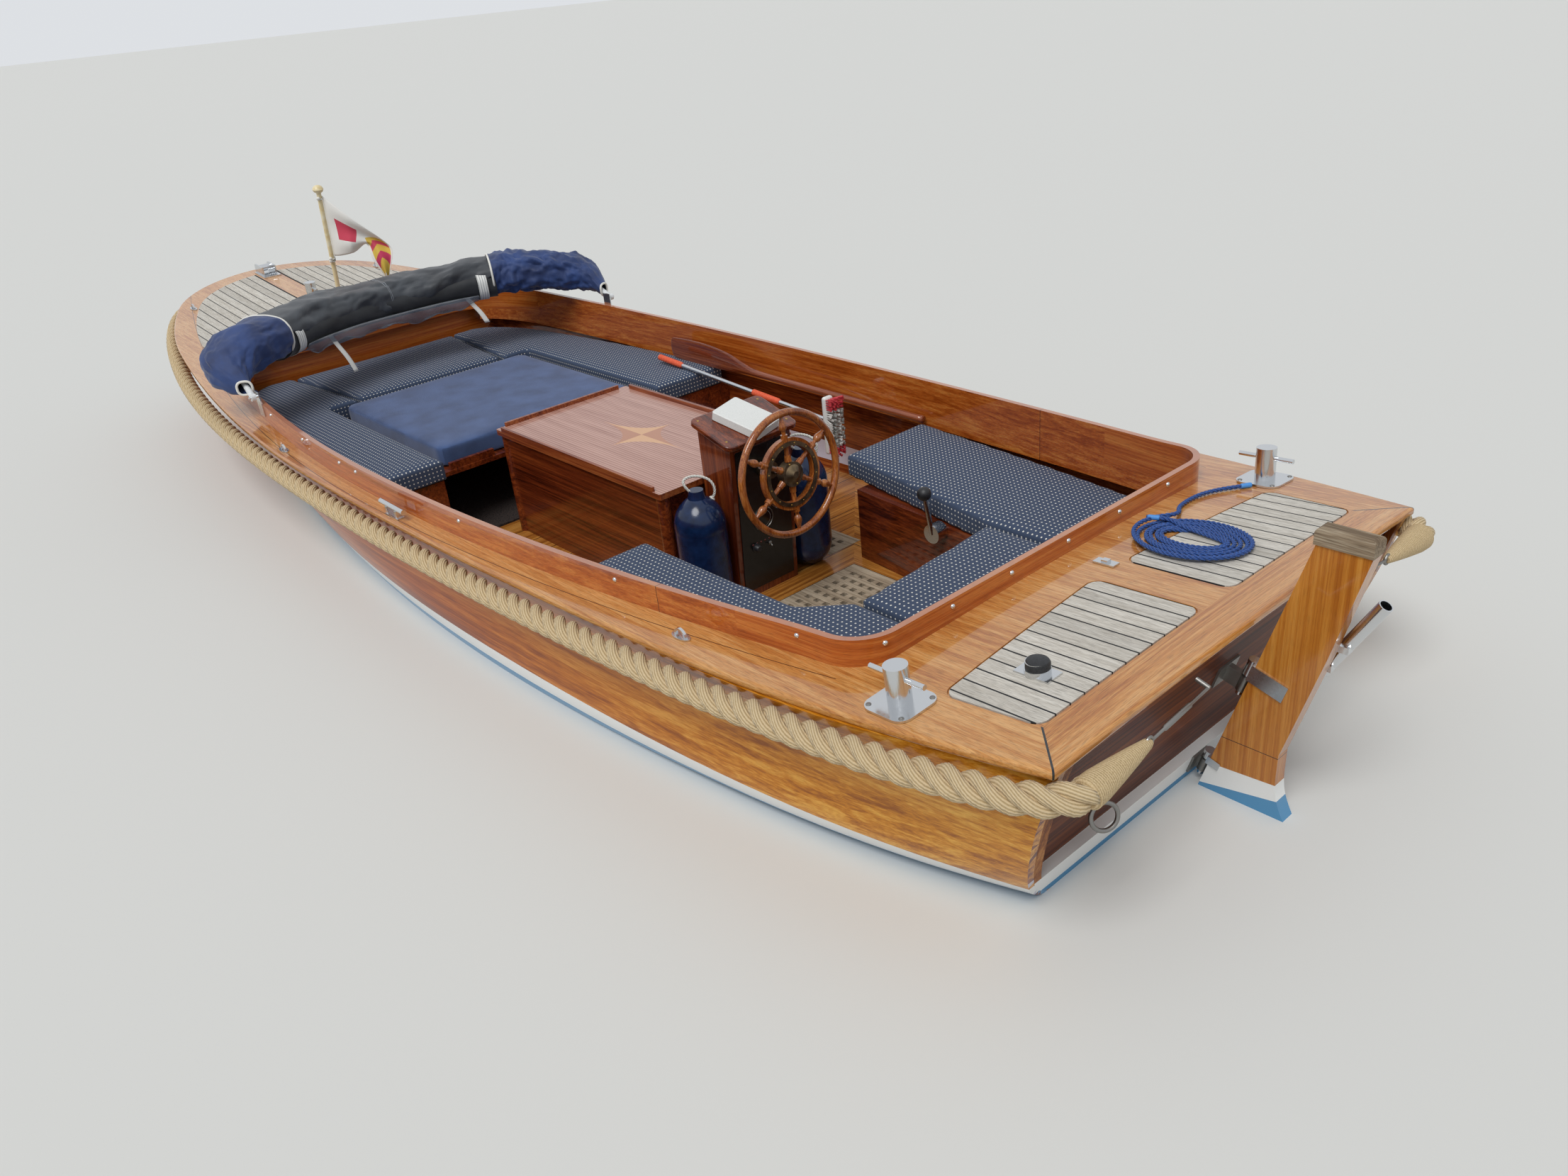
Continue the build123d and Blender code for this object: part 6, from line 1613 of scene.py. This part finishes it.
bezel = panel_round("gauge", 0.016, 0.300, [(-0.0004, 0.045), (0.005, 0.045), (0.007, 0.0425),
                                            (0.007, 0.0405), (0.004, 0.0395)], 40)
finished(bezel, "gauge_bezel", "black_panel", worn_steel)
dial_black, tree, shader = new_material("dial_black", roughness=0.12)
at = add_node(tree, "TexCoord").outputs["Object"]
ring = add_node(tree, "VectorMath", {0: at, 1: tuple(on_panel(0.016, 0.300))}, operation="DISTANCE")
colour = banded(tree, ring.outputs["Value"], ((0.030, 0.0312), (0.0015, 0.004)), ("#9A9C9E", "#B03A2A"),
                linear("#0C0D0F"))
tree.links.new(colour, shader.inputs["Base Color"])
dial = panel_round("dial", 0.016, 0.300, [(0.001, 0.0400), (0.0050, 0.0398), (0.0055, 0.036)], 40)
finished(dial, "gauge_dial", "black_panel", dial_black)
lamps = [panel_round("lamp", 0.070 - 0.019 * k, 0.210, domed(0.0042, 0.003, 4), 12) for k in range(5)]
lamps = joined(lamps)
lamp_red, tree, shader = new_material("lamp_red", roughness=0.2)
at = add_node(tree, "TexCoord").outputs["Object"]
facet = add_node(tree, "TexVoronoi", {"Vector": at, "Scale": 500.0})
colour = add_node(tree, "ValToRGB", {"Fac": facet.outputs["Distance"]},
                  stops=[(0.0, "#7A2A20"), (0.8, "#3C1210")])
tree.links.new(colour.outputs[0], shader.inputs["Base Color"])
finished(lamps, "panel_lamps", "black_panel", lamp_red)
KNOB = [(-0.0004, 0.0170), (0.004, 0.0170), (0.005, 0.0140), (0.018, 0.0125), (0.021, 0.0100),
        (0.0215, 0.003)]
knob = panel_round("knob", 0.057, 0.196, KNOB)
matt_black, tree, shader = new_material("matt_black", roughness=0.45)
at = add_node(tree, "TexCoord").outputs["Object"]
dust = add_node(tree, "TexNoise", {"Vector": at, "Scale": 200.0, "Detail": 4.0})
colour = add_node(tree, "ValToRGB", {"Fac": dust.outputs["Fac"]}, stops=[(0.3, "#111214"), (0.75, "#2A2B2E")])
tree.links.new(colour.outputs[0], shader.inputs["Base Color"])
finished(knob, "panel_knob", "black_panel", matt_black)
toggles = []
for y, z, lean in ((-0.008, 0.192, 0.35), (-0.060, 0.197, -0.3)):
    toggles.append(panel_round("collar", y, z, [(-0.0004, 0.0075), (0.004, 0.0075), (0.006, 0.0055)], 16))
    place = on_panel(y, z) + PANEL_OUT * 0.004
    toggles.append(turned_piece("lever", place, PANEL_OUT + Vector((0, lean, -0.3)),
                                [(0, 0.0025), (0.014, 0.0034), (0.017, 0.002)], 12))
toggles = joined(toggles)
finished(toggles, "panel_toggles", "steel", worn_steel)
PLATE_WIDE, PLATE_TOP, PLATE_FOOT = 0.236, 0.196, 0.030
plate_ends = []
for z in (PLATE_TOP, PLATE_FOOT):
    _, place, out, _ = nodes["console"].ray_cast(Vector((-2.0, 0.0, z)), Vector((1, 0, 0)))
    plate_ends.append(place)
bpy.ops.mesh.primitive_cube_add(size=1, location=(plate_ends[0] + plate_ends[1]) / 2 + PANEL_OUT * 0.0018,
                                rotation=(plate_ends[0] - plate_ends[1]).to_track_quat("Z", "Y").to_euler())
plate = bpy.context.object
lie = (plate_ends[0] - plate_ends[1])
plate.scale = (PLATE_WIDE, 0.0040, lie.length)
settle(plate)
finished(plate, "panel_lower_plate", "black_panel", black_acrylic)
THROTTLE_KNOB = Vector((-1.886, -0.295, 0.412))
KNOB_BALL = [(-0.0245, 0.005), (-0.021, 0.014), (-0.012, 0.0225), (0, 0.0250), (0.012, 0.0225),
             (0.021, 0.014), (0.0245, 0.005)]
throttle_knob = turned_piece("throttle_knob", THROTTLE_KNOB, (0.1, 0, 1), KNOB_BALL)
finished(throttle_knob, "throttle_knob", "black_panel", matt_black)
filler = Vector((-3.002, 0.532, 0))
filler.z = deck_top(filler.x, filler.y, "deck_fittings")
CAP = [(-0.030, 0.0300), (-0.004, 0.0300), (0.0015, 0.0265), (0.003, 0.020), (0.0034, 0.004)]
filler_cap = turned_piece("filler_cap", filler, (0, 0, 1), CAP, 32)
finished(filler_cap, "filler_cap", "black_panel", matt_black)

# Transom ring: a loose forged ring, 80 mm across, hangs in an eye bolt under the rope's end.
RING_EYE = Vector((-3.205, 0.591, 0.291))
RING_MIDDLE = RING_EYE + Vector((-0.016, -0.020, -0.030))
bpy.ops.mesh.primitive_torus_add(major_radius=0.034, minor_radius=0.0058, major_segments=48,
                                 minor_segments=12,
                                 location=RING_MIDDLE,
                                 rotation=Vector((-0.86, 0.42, 0.28)).to_track_quat("Z", "Y").to_euler())
ring = settle(bpy.context.object)
for polygon in ring.data.polygons:
    polygon.use_smooth = True
_, place, out, _ = nodes["transom"].ray_cast(Vector((-3.6, RING_EYE.y, RING_EYE.z)), Vector((1, 0, 0)))
bolt = turned_piece("bolt", place, out, [(-0.0005, 0.014), (0.003, 0.014), (0.005, 0.006), (0.024, 0.006),
                                         (0.028, 0.009),
                                         (0.036, 0.009), (0.040, 0.004)], 20)
transom_ring = joined([ring, bolt])
finished(transom_ring, "hanging_ring", "steel", worn_steel)
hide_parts("transom_ring")

# Drain flap: a piece of black rubber screwed over the hole in the transom.
FLAP_Y, FLAP_Z = 0.403, 0.259
bpy.ops.mesh.primitive_cube_add(size=1, location=(0, 0, 0))
flap = bpy.context.object
flap.scale = (0.006, 0.088, 0.074)
flap.rotation_euler = (0, math.atan(-0.30), 0)
_, place, out, _ = nodes["transom"].ray_cast(Vector((-3.6, FLAP_Y, FLAP_Z)), Vector((1, 0, 0)))
flap.location = place + out * 0.0032
settle(flap)
flap.select_set(True)
bpy.context.view_layer.objects.active = flap
soft = flap.modifiers.new("edges", "BEVEL")
soft.width = 0.002
soft.segments = 2
apply_all(flap)
bpy.ops.object.select_all(action="DESELECT")
finished(flap, "drain_flap", "black_panel", matt_black)

# Fenders' lanyards: a short loop of white line through each fender's eye, with a knot.
for side, y in (("port", 0.238), ("starboard", -0.250)):
    top = Vector((-1.311, y, 0.4683))
    loop = smooth_line([top + Vector(p) for p in ((0.006, 0.014, -0.012), (0.016, 0.034, 0.016),
                                                  (0.030, 0.030, 0.040),
                                                 (0.020, -0.010, 0.046), (-0.010, -0.050, 0.030),
                                                 (-0.028, -0.062, 0.0),
                                                 (-0.024, -0.060, -0.036), (-0.012, -0.052, -0.050))])
    lanyard, path, long = laid_rope(f"fender_lanyard_{side}", loop, 0.0055, 0.030, sides=7, rounds=8)
    recalculate(lanyard)
    finished(lanyard, f"fender_lanyard_{side}", "white_bunting", white_line)
    knot = turned_piece("knot", top + Vector((-0.012, -0.052, -0.052)), (0, 0, 1),
                        [(-0.012, 0.005), (-0.008, 0.011), (0, 0.013), (0.008, 0.010), (0.012, 0.005)], 14)
    finished(knot, f"lanyard_knot_{side}", "white_bunting", white_line)
